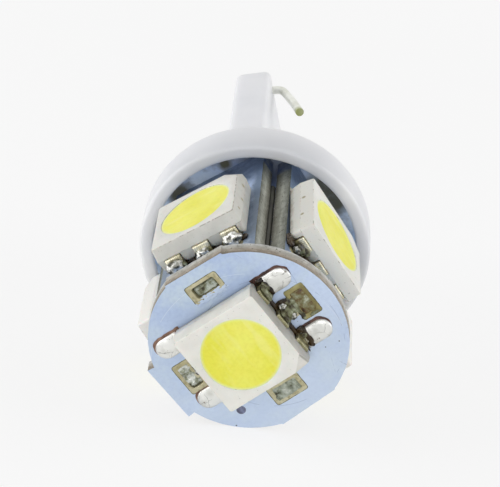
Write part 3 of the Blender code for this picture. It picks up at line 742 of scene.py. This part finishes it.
# Burnt lumps and thin films by package: along the wall, across it, up, half sizes. The long strip along
# each wall's foot is burnt flux and painted shadow under the body.
lumps = {"left": ((-230, 278, 8, 20, 22, 10), (0, 246, 7, 232, 8, 8),
                  (-122, 292, 16, 12, 18, 18), (66, 262, 8, 14, 10, 10)),
         "right": ((232, 276, 14, 28, 34, 20), (0, 250, 9, 232, 12, 10),
                   (90, 276, 16, 36, 28, 20), (126, 295, 12, 30, 34, 14),
                   (58, 296, 20, 20, 22, 22), (230, 242, 12, 26, 30, 16)),
         "head": ((60, -290, 6, 18, 36, 7), (24, -280, 8, 30, 20, 10),
                  (0, -250, 9, 232, 14, 11), (-122, -282, 7, 20, 24, 10),
                  (220, -276, 9, 20, 26, 11), (-146, -292, 14, 32, 16, 9),
                  (-184, -293, 16, 30, 14, 7), (-214, -284, 12, 20, 16, 8),
                  (156, -295, 15, 28, 13, 7), (190, -290, 14, 28, 14, 8))}
films = {"left": ((-130, 288, 22, 16, 26, 24), (126, 284, 20, 18, 24, 24)),
         "right": ((167, 284, 34, 36, 16, 24), (130, 276, 46, 24, 12, 18)),
         "head": ((167, -278, 42, 46, 12, 34), (2, -278, 34, 40, 12, 30),
                  (5, -290, 18, 34, 26, 16), (186, -280, 16, 30, 22, 14),
                  (140, -272, 12, 24, 20, 10), (-2, -312, 8, 30, 22, 8),
                  (-150, -280, 22, 16, 18, 8), (45, -312, 5, 22, 22, 6))}
for number, label in enumerate(PACKAGES):
    pads = bmesh.new()
    solder = bmesh.new()
    for wall in (1, -1):
        for step in (0,) if label == "head" else (-1, 0, 1):
            x = step * LEAD_PITCH
            face = wall * (LEAD_WALL + LEAD_OUT)
            pad_y = face + wall * (PAD_OUT / 2 - 0.1)
            outline = rounded(PAD_HALF, PAD_OUT / 2 + 0.1, 0.08)
            skin([[(x + px, pad_y + py, z) for px, py in outline] for z in (0, PAD_UP)], pads)
            plain = (5 * step, 14, 12, 46, 26, 26)
            along, out, up, *sizes = [v / 100 for v in drops.get((label, wall, step), plain)]
            seed = number * 7 + step * 2.3 + wall
            blob(solder, (x + along, face + wall * out, up), sizes, seed, 0.3, 2.3)
    if label == "head":
        blob(solder, (-0.32, -(LEAD_WALL + LEAD_OUT + 0.34), 0.14), (0.19, 0.17, 0.14), 77, 0.25, 2.2)
    put("pads_" + label, pads, seats[label], [pad_plating], "flashed_lead", 9 * number, 30)
    put("solder_" + label, solder, seats[label], [tin], "tin_solder", 6 * number, 80)
    for name, source, mat in (("burnt_flux_", lumps, flux), ("thin_flux_", films, film)):
        if label in source:
            bm = bmesh.new()
            for order, row in enumerate(source[label]):
                x, y, z, *sizes = [v / 100 for v in row]
                blob(bm, (x, y, z), sizes, 3.1 * order + number, 0.24, 2.4)
            put(name + label, bm, seats[label], [mat], "resistor_ceramic", 8 * number, 80)


# Head board. Round laminate board, mask on its face, snapped off its panel
# at three places that left straight torn edges with small nibs. Four slots
# take the tower's tabs; it is turned a few degrees on them.
HEAD_R = 5.19
HEAD_SHIFT = (0.01, -0.33)
HEAD_TWIST = radians(5.8)
FLAT_HALF = 1.72
FLATS = ((radians(94.1), 4.98), (radians(187.2), 5.31), (radians(278.7), 4.95))
NIB = radians(0.9)
SLOT_MIDDLE = TOWER_FACE - BOARD_T / 2
SLOT_MOUTH = (0.4, 0.78, 0.1)
# Where each window was printed, off its slot: right, upper left, lower left, low right
WINDOW_SHIFT = ((0.15, 0), (0.03, -0.07), (-0.2, -0.3), (-0.04, -0.24))


def head_outline():
    """The disc's round edge, cut short at each flat, with the nibs' points."""
    points = []
    start = HEAD_TWIST
    for turn, distance in FLATS + ((2 * pi + HEAD_TWIST, None),):
        spread = atan2(FLAT_HALF, distance) if distance else 0
        stop = turn - spread - (NIB if distance else 0)
        for i in range(30):
            a = start + (stop - start) * i / 29
            points.append((HEAD_R * cos(a), HEAD_R * sin(a)))
        if distance:
            far = hypot(distance, FLAT_HALF)
            points += [(far * cos(a), far * sin(a)) for a in (turn - spread, turn + spread)]
        start = turn + spread + NIB
    return [(x + HEAD_SHIFT[0], y + HEAD_SHIFT[1]) for x, y in points[:-1]]


windows = []
slots = []
for q, (x, y) in enumerate(WINDOW_SHIFT):
    turn = Matrix.Rotation(HEAD_TWIST + q * pi / 2, 4, "Z")
    windows.append(Matrix.Translation((x, y, 0)) @ turn @ Matrix.Translation((SLOT_MIDDLE, 0, 0)))
    slots.append([(windows[q] @ Vector((*point, 0)))[:2] for point in rounded(*SLOT_MOUTH)])
# Hair scratches: centre x and y, radius, width, tone
arcs = ((1, -1, 3.75, 0.018, "#8FA0BE"), (-0.5, -1.5, 5.2, 0.018, "#DDE6F2"),
        (4.6, -3.2, 1.15, 0.026, "#4E5870"), (-14, -3, 17.6, 0.014, "#8FA0BE"),
        (-17, 2, 20.9, 0.014, "#8FA0BE"))
head_mask = blue_mask("blue_mask_head", False, arcs)
bm = bmesh.new()
plate(bm, [stepped(head_outline(), 0.2)] + [stepped(loop, 0.3) for loop in slots], BOARD_T, 0.014)
disc_edge = laminate_edge("snapped_disc_edge", (
    (0, "#7D705F"), (0.1, "#9B8E7D"), (0.4, "#ADA497"), (0.65, "#C3C0B8"), (1, "#D2D3D2")))
put("head_disc", bm, bulb, [head_mask, disc_edge], "masked_laminate", 50, 25, "head_board")


# Plated windows. Each slot's mouth is ringed and lined with plated copper,
# printed a little off the slot; inside, the strip's tab stands below it,
# soldered in, and buried under solder skin, ash and flux.
WINDOW_LONG = 0.95
WINDOW_WIDE = 0.55
MOUTH_LONG = 0.69
MOUTH_WIDE = 0.34
RING_UP = 0.02
RING_DEEP = 0.36


def window_ring():
    """One ring at the origin: top flange, rounded lip and lining."""
    window = (WINDOW_WIDE, WINDOW_LONG)
    mouth = (MOUTH_WIDE, MOUTH_LONG)
    levels = ((window, 0, 0), (window, 0, RING_UP * 0.6), (window, -0.02, RING_UP),
              (mouth, 0.04, RING_UP), (mouth, 0, -0.02), (mouth, -0.01, -RING_DEEP),
              (mouth, 0.04, -RING_DEEP), (mouth, 0.04, 0))
    rings = [[(x, y, z) for x, y in rounded(wide + grow, long + grow, 0.13)]
             for (wide, long), grow, z in levels]
    return loose("window_ring", skin(rings, None, True))


def windows_tree():
    """The same ring at each window's centre, a quarter turn on every time."""
    tree, source = open_tree("windows", {"Centres": "Object", "Twist": "Float", "Metal": "Material"})
    centres = add(tree, "GeometryNodeObjectInfo", {"Object": source["Centres"]}, "Geometry")
    index = add(tree, "GeometryNodeInputIndex")
    quarter = add(tree, "ShaderNodeMath", {
        "operation": "MULTIPLY_ADD", 0: index, 1: pi / 2, 2: source["Twist"]})
    turn = add(tree, "ShaderNodeCombineXYZ", {"Z": quarter})
    copies = add(tree, "GeometryNodeInstanceOnPoints", {
        "Points": centres, "Instance": source["Geometry"], "Rotation": turn})
    return close_tree(tree, copies, source["Metal"])


def tab_crust(name, stops, metal, heart, paler):
    """Grey skin, ash and flux that soldering left, paler round the heart."""
    look = Look(name, Metallic=metal, Roughness=0.45, IOR=1.5)
    shade = look.sum("MULTIPLY_ADD", look.near([heart]), paler, look.wander(2.3, 5, None, 0.62))
    look.colour = look.graded(shade, stops)
    return look.done(6, 0.08, (0.22, 0.6))


def crust_bed(half_wide, half_long, level, relief, seed):
    """Closed lumpy bed with its middle at the origin, the rim turned down."""
    rings = []
    for share, drop in ((1, 0.35), (0.98, 0.1), (0.9, 0.03), (0.75, 0), (0.6, 0), (0.45, 0),
                        (0.3, 0), (0.12, 0)):
        ring = []
        shape = rounded(half_wide * share, half_long * share, 0.12 * share)
        for x, y in stepped(shape, 0.12 * share + 0.01):
            bump = ripple(x * 3 + seed, y * 3, seed)
            bump += 0.5 * ripple(x * 8, y * 8 + seed, 1)
            ring.append((x, y, level - drop + relief * bump))
        rings.append(ring)
    count = min(len(ring) for ring in rings)
    return skin([[ring[round(i * len(ring) / count) % len(ring)] for i in range(count)] for ring in rings])


points = bpy.data.meshes.new("window_centres")
points.from_pydata([window.translation[:] for window in windows], [], [])
centres = linked(bpy.data.objects.new("window_centres", points))
window_metal = plated_pad("plated_window", [(*windows[0].translation, 3)])
hoops = run_tree(window_ring(), windows_tree(), {
    "Centres": centres, "Twist": HEAD_TWIST, "Metal": window_metal})
bpy.data.objects.remove(centres, do_unlink=True)
put("window_plating", hoops, bulb, [window_metal], "flashed_lead", 20, 35)
# Beds by window: half sizes, level, relief, place in the mouth, metal, paler, tones
beds = (
    (0.42, 0.8, 0.03, 0.07, (0, 0), 0, 0.14,
     ((0.34, "#24170C"), (0.44, "#5E4524"), (0.52, "#736B42"), (0.62, "#8A8B6C"), (0.74, "#C2C7B4"))),
    (0.28, 0.67, -0.17, 0.08, (-0.05, 0), 0.25, 0.03,
     ((0.32, "#2A2318"), (0.42, "#77775E"), (0.52, "#A7AE9E"), (0.66, "#CBD2CB"))),
    (0.42, 0.76, 0.01, 0.1, (0.02, -0.12), 0.45, 0.04,
     ((0.34, "#3A3420"), (0.42, "#7E8068"), (0.49, "#9FA496"), (0.55, "#C9CCC4"), (0.66, "#E6E8E2"))),
    (0.44, 0.84, 0.03, 0.08, (0, 0), 0.25, 0.06,
     ((0.3, "#34301F"), (0.42, "#7E8472"), (0.54, "#A3A99B"), (0.68, "#C6C9BF"))))
# A thin dark ring round each window, in the flux film material: painted shadow at the mask's edge.
outline = bmesh.new()
for q, (half_wide, half_long, level, relief, shift, metal, paler, stops) in enumerate(beds):
    name = "tab_crust_%d" % (q + 1)
    crust = tab_crust(name, stops, metal, (0, 0, level, 0.62), paler)
    seat = bulb @ windows[q] @ Matrix.Translation((*shift, 0))
    bed = crust_bed(half_wide, half_long, level, relief, 3 * q + 1)
    put(name, bed, seat, [crust], "tin_solder", 31 + 4 * q, 80)
    bm = bmesh.new()
    plate(bm, [stepped(rounded(WINDOW_WIDE + 0.035, WINDOW_LONG + 0.035, 0.15), 0.06),
               stepped(rounded(WINDOW_WIDE - 0.05, WINDOW_LONG - 0.05, 0.08), 0.1)], 0.004, 0.016)
    bm.transform(Matrix.Translation((0, 0, 0.005)) @ windows[q])
    ring = bpy.data.meshes.new("outline")
    bm.to_mesh(ring)
    bm.free()
    outline.from_mesh(ring)
    bpy.data.meshes.remove(ring)
for face in outline.faces:
    face.material_index = 0
put("window_outline", outline, bulb, [film], "resistor_ceramic", 24, 30)
# Smears over two rings: window, material, slot, shift, level, height, seed and
# its stride; then place and half sizes of each spot
smears = {
    "mask_smear": (1, head_mask, "masked_laminate", 52, 0.004, 0.024, 0, 9, (
        (-0.5, -0.62, 0.16, 0.34), (-0.54, -0.2, 0.15, 0.36), (-0.5, 0.24, 0.17, 0.34),
        (-0.56, 0.62, 0.13, 0.3), (-0.44, 0.05, 0.12, 0.2))),
    "flux_smear": (0, film, "resistor_ceramic", 55, 0.018, 0.035, 3, 7, (
        (-0.5, 0.3, 0.15, 0.26), (-0.54, -0.15, 0.2, 0.22), (-0.46, -0.6, 0.12, 0.24),
        (0.1, -0.86, 0.3, 0.09)))}
for name, (q, mat, slot, shift, z, high, seed, stride, spots) in smears.items():
    bm = bmesh.new()
    for x, y, wide, long in spots:
        blob(bm, (x, y, z), (wide, long, high), seed + y * stride, 0.7, 2.4)
    put(name, bm, bulb @ windows[q], [mat], slot, shift, 80)


# Head joints. The outer leads of the head package run out on long pads with
# round ends; solder stands on them in a full, bright, slightly wrinkled
# cushion, and burnt flux with painted shadow darkens one side of the mask opening.
JOINT_PITCH = 1.8
JOINT_HALF = 0.58
JOINT_H = 0.17
JOINT_REACH = {1: 1.62, -1: 1.78}
JOINT_BAND = 0.12
# Share of the outline at each height
JOINT_LEVELS = ((1, 0.004), (0.99, 0.05), (0.95, 0.095), (0.86, 0.135), (0.7, 0.16), (0.45, JOINT_H),
                (0.18, JOINT_H + 0.004))


def oblong(half, start, end, steps=14):
    """Outline along +Y with a round far end."""
    points = [(-half, start), (half, start)]
    for i in range(steps + 1):
        a = pi * i / steps
        points.append((half * cos(a), end - half + half * sin(a)))
    return points


def wrinkled_tin():
    """Thick tin that froze slowly: pale satin, dark wrinkles, flux grains."""
    look = Look("wrinkled_tin", Metallic=0.75, Roughness=0.38)
    look.base(1.5, "#CBCBC5", "#EAEAE6", 4, (0.3, 0.55))
    paler = look.tones(1.5, "#D8D8D2", "#F4F4F0", 4, (0.3, 0.55))
    look.over(look.span(look.axis("Y"), -1, 1), paler)
    bent = look.node("TexNoise", {"Vector": look.grain, "Scale": 1.6, "Detail": 3}, "Color")
    pushed = look.node("MixRGB", {"Fac": 0.3, "Color1": look.grain, "Color2": bent})
    cells = {"feature": "DISTANCE_TO_EDGE", "Vector": pushed, "Scale": 1.9}
    crack = look.span(look.node("TexVoronoi", cells, "Distance"), 0.024, 0.004, 0.55)
    look.over(look.sum("MULTIPLY", crack, look.speckle(1.4, 0.46, 0.56)), "#5A5650")
    look.over(look.speckle(5, 0.66, 0.72), "#6E5C40")
    return look.done(2.6, 0.03, (0.3, 0.46), 3)


def scorch_and_shadow_edge():
    """Scorched mask and flux, with painted shadow, along the pad's upper side, maroon to brown."""
    look = Look("scorch_and_shadow_edge", Roughness=0.4, IOR=1.5)
    look.base(2.6, "#33201E", "#6E4C40", 4, (0.36, 0.66))
    paler = look.tones(2.6, "#5E4032", "#9A7A66", 4, (0.36, 0.66))
    look.over(look.span(look.axis("Y"), -1, 1), paler)
    return look.done(5, 0.03, (0.3, 0.55))


joints = bmesh.new()
scorch_shadow_bands = bmesh.new()
for wall in (1, -1):
    start = LEAD_WALL + LEAD_OUT - 0.1
    end = LED_HALF + JOINT_REACH[wall]
    centre = (start + end) / 2
    shape = stepped(oblong(JOINT_HALF, start, end), 0.12)
    for x in (-JOINT_PITCH, JOINT_PITCH):
        skin([[(x + px * share, wall * (centre + (py - centre) * (0.3 + 0.7 * share)), z)
               for px, py in shape] for share, z in JOINT_LEVELS], joints)
        edge = []
        for px, py in stepped(oblong(JOINT_HALF + 0.035, start - 0.3, end + 0.045), 0.1):
            jag = 0.035 * ripple(px * 4 + x, py * 4, wall)
            edge.append((x + JOINT_BAND + px + jag, wall * (py + jag)))
        skin([[(px, py, z) for px, py in edge] for z in (0, 0.007)], scorch_shadow_bands)
for vert in joints.verts:
    if vert.co.z > 0.03:
        vert.co.z += 0.02 * noise.noise(vert.co * 1.6) + 0.008 * noise.noise(vert.co * 5)
put("joint_bands", scorch_shadow_bands, seats["head"], [scorch_and_shadow_edge()], "resistor_ceramic", 41, 30)
put("joint_cushions", joints, seats["head"], [wrinkled_tin()], "tin_solder", 47, 60,
    *("head_joint_%d" % n for n in range(1, 5)))


# Corner flux. Flux ran down inside the open corner of the tower when its
# strips were soldered, and dried there as a brown rope.
ROPE_IN = 0.27           # from the strips' inner faces
ROPE_R = 0.18
ROPE_LOW = -9.6
ROPE_STEP = 0.25


def run_flux():
    """Rosin flux run down a corner: dark olive-brown, in long soft streaks."""
    look = Look("run_flux", Roughness=0.55, IOR=1.52)
    along = look.stretched(look.grain, (1, 1, 0.16))
    look.base(2.6, "#2B2A20", "#57564A", 4, (0.36, 0.66), along)
    return look.done(4, 0.05, (0.45, 0.65), 3, along)


corner = TOWER_FACE - BOARD_T - ROPE_IN
rings = []
for level in range(34):
    z = ROPE_LOW + level * ROPE_STEP
    thick = ROPE_R + 0.02 * ripple(z * 0.5, 0, 4)
    rings.append([(corner + thick * cos(pi * i / 6), corner + thick * sin(pi * i / 6), z)
                  for i in range(12)])
put("corner_flux", skin(rings), bulb, [run_flux()], "resistor_ceramic", 15, 80)


# Via. One drilled and plated hole beside the lower corner of the head
# package, tented with mask that has sunk into it.
VIA = (-2.43, -3.67)
VIA_R = 0.2


def sunk_mask():
    """Mask over an open hole: thin, dark violet blue, with a dull gloss."""
    look = Look("sunk_mask", Roughness=0.34, IOR=1.52)
    look.base(3, "#4A4A5C", "#7C82A0", 4)
    return look.done(5, 0.02, (0.28, 0.45))


dimple = ((VIA_R + 0.05, 0.002), (VIA_R, 0.016), (VIA_R * 0.8, 0.012), (VIA_R * 0.5, 0.004))
put("via_collar", lathe(dimple, 28, *VIA), bulb, [sunk_mask()], "resistor_ceramic", 13, 60)


# Holder. One milky nylon moulding: a round cup that the tower stands in, and
# the flat blade that plugs into the socket. Its corners are soft from the
# mould, and the blade is holed twice near its tip for the contact wires.
RIM_Z = -9.54
FLOOR_Z = -12.2
BACK_Z = -13.15
COLLAR_R = 6.333
CUP_R = 5.583
BACK_ROUND = 1.45
BLADE_END = -23.7
BLADE_W = 9.5
BLADE_T = 2.1
BLADE_TURN = Matrix.Rotation(radians(-21), 4, "Z")
BLADE_FLARE = 0.4
WIRE_TIP_W = BLADE_W / 2 - 1.15
WIRE_EXIT = BLADE_END + 0.75
HOLE_R = 0.3
VOXEL = 0.11


def arc(centre_r, centre_z, radius, start, stop, steps=8):
    points = []
    for i in range(steps + 1):
        a = radians(start + (stop - start) * i / steps)
        points.append((centre_r + radius * cos(a), centre_z + radius * sin(a)))
    return points


def holder_form():
    """Cup, blade and wire holes joined, then softened as the mould was."""
    profile = [(0.5, FLOOR_Z)] + arc(CUP_R - 0.47, FLOOR_Z + 0.35, 0.35, -90, 0)
    profile += [(CUP_R, RIM_Z - 0.07), (CUP_R + 0.07, RIM_Z)]
    profile += arc(COLLAR_R - 0.12, RIM_Z - 0.12, 0.12, 90, 0, 4)
    profile += arc(COLLAR_R - BACK_ROUND, BACK_Z + BACK_ROUND, BACK_ROUND, 0, -90, 12) + [(0.5, BACK_Z)]
    cup = loose("cup", lathe(profile, 144))
    stations = [(FLOOR_Z - 0.4, BLADE_FLARE)]
    for i in range(7):
        a = pi / 2 * i / 6
        stations.append((BACK_Z - BLADE_FLARE * 2.5 * sin(a), BLADE_FLARE * (1 - sin(a))))
    stations += [(BLADE_END + 0.45, 0), (BLADE_END, -0.26)]
    tongue = loose("tongue", skin([
        [BLADE_TURN @ Vector((x, y, z)) for x, y in rounded(BLADE_T / 2 + grow, BLADE_W / 2 + grow, 0.32)]
        for z, grow in stations]))
    carve(cup, tongue, "UNION")
    holes = []
    for side in (1, -1):
        centre = BLADE_TURN @ Vector((0, side * WIRE_TIP_W, WIRE_EXIT))
        spin = (BLADE_TURN @ Vector((side, 0, 0))).to_track_quat("Z", "Y").to_matrix().to_4x4()
        bm = lathe(((HOLE_R, 0), (HOLE_R, 1.6)), 20)
        bm.transform(Matrix.Translation(centre) @ spin)
        holes.append(loose("wire_hole", bm))
        carve(cup, holes[-1])
    soft = cup.modifiers.new("mould", "REMESH")
    soft.mode = "VOXEL"
    soft.voxel_size = VOXEL
    ease = cup.modifiers.new("ease", "SMOOTH")
    ease.iterations = 6
    ease.factor = 0.5
    return worked(cup, tongue, *holes)


def milky_nylon():
    """Undyed nylon: milky, satin, faintly cloudy, with painted shade on two sides near its mouth."""
    look = Look("milky_nylon", Roughness=0.4, IOR=1.53, Subsurface_Weight=0.55, Subsurface_Scale=0.0012,
                Subsurface_Radius=(1, 1, 1.05))
    look.base(0.2, "#E6E7EA", "#ECECEE", 2)
    # Painted shade: greyer on two sides towards the rim.
    upper = look.vector_sum("DOT_PRODUCT", look.place, (0.49, 0.87, 0))
    far = look.vector_sum("DOT_PRODUCT", look.place, (0.8, -0.6, 0))
    shaded_sides = look.sum("MAXIMUM", look.span(upper, 2.6, 5.4, 0.75), look.span(far, 3.6, 6, 0.4))
    mouth = look.span(look.axis("Z"), RIM_Z - 2.6, RIM_Z)
    look.over(look.sum("MULTIPLY", shaded_sides, mouth), "#C3C5C9")
    look.tint(0.6, 0.5, "#F9F9FA", "#FFFFFF", 2, (0.35, 0.6))
    return look.done(1.2, 0.004, (0.38, 0.44), 2)


def cup_inside():
    """The same nylon in the cup, painted blue-grey as shade, with glue and flux on its floor."""
    look = Look("shaded_nylon_inside", Roughness=0.55, IOR=1.53, Subsurface_Weight=0.9, Subsurface_Scale=0.003,
                Subsurface_Radius=(0.95, 1, 1.1))
    look.base(0.7, "#BAC8E0", "#D8E1EE")
    look.over(look.ragged(look.span(look.axis("Z"), RIM_Z - 1, FLOOR_Z, 0.34), 1, 0.16), "#6A6350")
    # Painted shade on the floor in the corner by the tower.
    look.over(look.near([(2.6, 3.2, FLOOR_Z, 2.4)]), "#7A808C")
    spills = look.near([(4.6, 0.35, FLOOR_Z, 1.5), (4.7, -0.6, FLOOR_Z, 1.1), (-2.6, 3.9, FLOOR_Z, 0.95),
                        (0.5, 4.3, FLOOR_Z, 0.5)])
    look.over(look.ragged(spills, 0.9, 0.45), "#6E6B54")
    return look.done(3, 0.02, (0.45, 0.65), 3)


# Contact wires. Tinned spring wire threaded through the blade, out of its
# broad face near the tip and bent back towards the cup, so that its free
# end presses on the socket's contact. There is one on each face.
WIRE_R = 0.24
WIRE_BEND = 0.7
WIRE_LEAN = radians(18)
WIRE_FREE = 3.4


def wire_line(side):
    """Centre line from inside the blade out of its face and back along it."""
    face = BLADE_T / 2
    stop = pi / 2 - WIRE_LEAN
    route = [(0, 3), (0, 0.6), (0.1, 0.14), (0.5, 0), (face, 0)]
    for i in range(1, 9):
        a = stop * i / 8
        route.append((face + WIRE_BEND * sin(a), WIRE_BEND * (1 - cos(a))))
    out, up = route[-1]
    for share in (0.25, 0.5, 0.75, 1):
        run = WIRE_FREE * share
        sag = 0.05 * sin(pi * share)
        route.append((out + run * sin(WIRE_LEAN) + sag, up + run * cos(WIRE_LEAN)))
    return [BLADE_TURN @ Vector((side * x, side * WIRE_TIP_W, WIRE_EXIT + z)) for x, z in route]


def wire_tree():
    """Round wire along a curve, with closed ends."""
    tree, source = open_tree("drawn_wire", {"Radius": "Float", "Step": "Float", "Metal": "Material"})
    even = add(tree, "GeometryNodeResampleCurve", {
        "mode": "LENGTH", "Curve": source["Geometry"], "Length": source["Step"]})
    section = add(tree, "GeometryNodeCurvePrimitiveCircle", {"Resolution": 20, "Radius": source["Radius"]})
    tube = add(tree, "GeometryNodeCurveToMesh", {
        "Curve": even, "Profile Curve": section, "Fill Caps": True})
    return close_tree(tree, tube, source["Metal"])


def tinned_wire():
    """Tinned spring wire, dulled; its snipped end is olive with oxide."""
    look = Look("tinned_spring_wire", Metallic=0.7, Roughness=0.38)
    look.base(1.4, "#DCDDD2", "#F0F1EA", 4)
    look.over(look.span(look.axis("Z"), WIRE_EXIT + 3.3, WIRE_EXIT + 3.75), "#A0A66C")
    return look.done(5, 0.006, (0.3, 0.46), 3)


drawn = wire_tree()
tinned = tinned_wire()
for side, label in ((1, "a"), (-1, "b")):
    curve = bpy.data.curves.new("wire_line", "CURVE")
    curve.dimensions = "3D"
    spline = curve.splines.new("BEZIER")
    line = wire_line(side)
    spline.bezier_points.add(len(line) - 1)
    for knot, point in zip(spline.bezier_points, line):
        knot.co = point
        knot.handle_left_type = "AUTO"
        knot.handle_right_type = "AUTO"
    spline.resolution_u = 8
    path = linked(bpy.data.objects.new("wire_line", curve))
    tube = run_tree(path, drawn, {"Radius": WIRE_R, "Step": 0.08, "Metal": tinned})
    put("contact_wire_visual_" + label, tube, bulb, [tinned], "tinned_wire", 3 * side, 50,
        "contact_wire_" + label)

nylon = milky_nylon()
shaded_inside = cup_inside()
form = holder_form()
# Faces inside the cup take the copy of the nylon with painted shade.
for face in form.faces:
    centre = face.calc_center_median()
    inside = hypot(centre.x, centre.y) < CUP_R + 0.03 and centre.z > FLOOR_Z - 0.1
    face.material_index = 1 if inside and centre.z < RIM_Z - 0.25 else 0
put("holder_moulding", form, bulb, [nylon, shaded_inside], "milky_nylon", 60, 70, "holder")


# Stage. A white studio floor that the camera sees at full white with the
# object's soft shadow, plain soft lamps, and the photograph's long lens.
FLOOR_HALF = 1.2
GLOW = (0.98, 0.98, 0.98, 1)


def studio_floor():
    """White paper that glows to the camera, wholly so away from the object."""
    look = Look("studio_floor", Roughness=0.9, Base_Color=ink("#F4F4F4"))
    glow = look.node("Emission", {"Color": GLOW, "Strength": 1})
    away = look.vector_sum("LENGTH", look.node("TexCoord", {}, "Object"))
    camera_ray = look.node("LightPath", {}, "Is Camera Ray")
    seen = look.sum("MULTIPLY", camera_ray, look.span(away, 0.06, 0.2, 1, 0.8))
    mix = look.node("MixShader", {0: seen, 1: look.shader.outputs[0], 2: glow})
    look.tree.links.new(mix, look.tree.nodes["Material Output"].inputs["Surface"])
    return look.mat


bm = bmesh.new()
bmesh.ops.create_grid(bm, x_segments=8, y_segments=8, size=FLOOR_HALF)
floor = loose("studio_floor", bm)
floor.data.materials.append(studio_floor())

world = bpy.data.worlds.new("studio")
bpy.context.scene.world = world
world.use_nodes = True
sky = world.node_tree
air = sky.nodes["Background"]
air.inputs["Color"].default_value = (1, 1, 1, 1)
rays = add(sky, "ShaderNodeLightPath").node.outputs
direct = add(sky, "ShaderNodeMath", {
    "operation": "MAXIMUM", 0: rays["Is Camera Ray"], 1: rays["Is Glossy Ray"]})
level = add(sky, "ShaderNodeMapRange", {"Value": direct, "To Min": 0.54, "To Max": 0.98})
sky.links.new(level, air.inputs["Strength"])


def lamp(name, place, aim, size, power):
    """Soft square lamp, metres and watts."""
    data = bpy.data.lights.new(name, "AREA")
    data.shape = "SQUARE"
    data.size = size
    data.energy = power
    obj = linked(bpy.data.objects.new(name, data))
    obj.location = place
    obj.rotation_mode = "QUATERNION"
    obj.rotation_quaternion = (Vector(aim) - Vector(place)).to_track_quat("-Z", "Y")


lamp("front", (-0.02, -0.38, 0.05), (0, -0.008, 0.006), 0.2, 0.46)
lamp("left", (-0.34, 0.00, 0.08), (0, 0, 0.006), 0.3, 0.78)
lamp("right", (0.34, 0.02, 0.1), (0, 0, 0.006), 0.3, 0.62)

CAMERA_PLACE = Vector((36.065, 49.245, 107.026))    # millimetres in the bulb's axes
CAMERA_BACK = Vector((0.2744, 0.3709, 0.8872))
CAMERA_RIGHT = Vector((0.8584, -0.5103, -0.0522))
LENS_MM = 172.8
camera = bpy.data.cameras.new("camera")
camera.lens = LENS_MM
camera.sensor_width = 36
camera.clip_start = 0.005
camera.clip_end = 10
eye = linked(bpy.data.objects.new("camera", camera))
turn = bulb.to_3x3().normalized()
look_back = (turn @ CAMERA_BACK).normalized()
look_up = look_back.cross(turn @ CAMERA_RIGHT).normalized()
axes = Matrix((look_up.cross(look_back), look_up, look_back)).transposed()
eye.matrix_world = Matrix.Translation(bulb @ CAMERA_PLACE) @ axes.to_4x4()
bpy.context.scene.camera = eye
bpy.context.scene.view_settings.view_transform = "Standard"
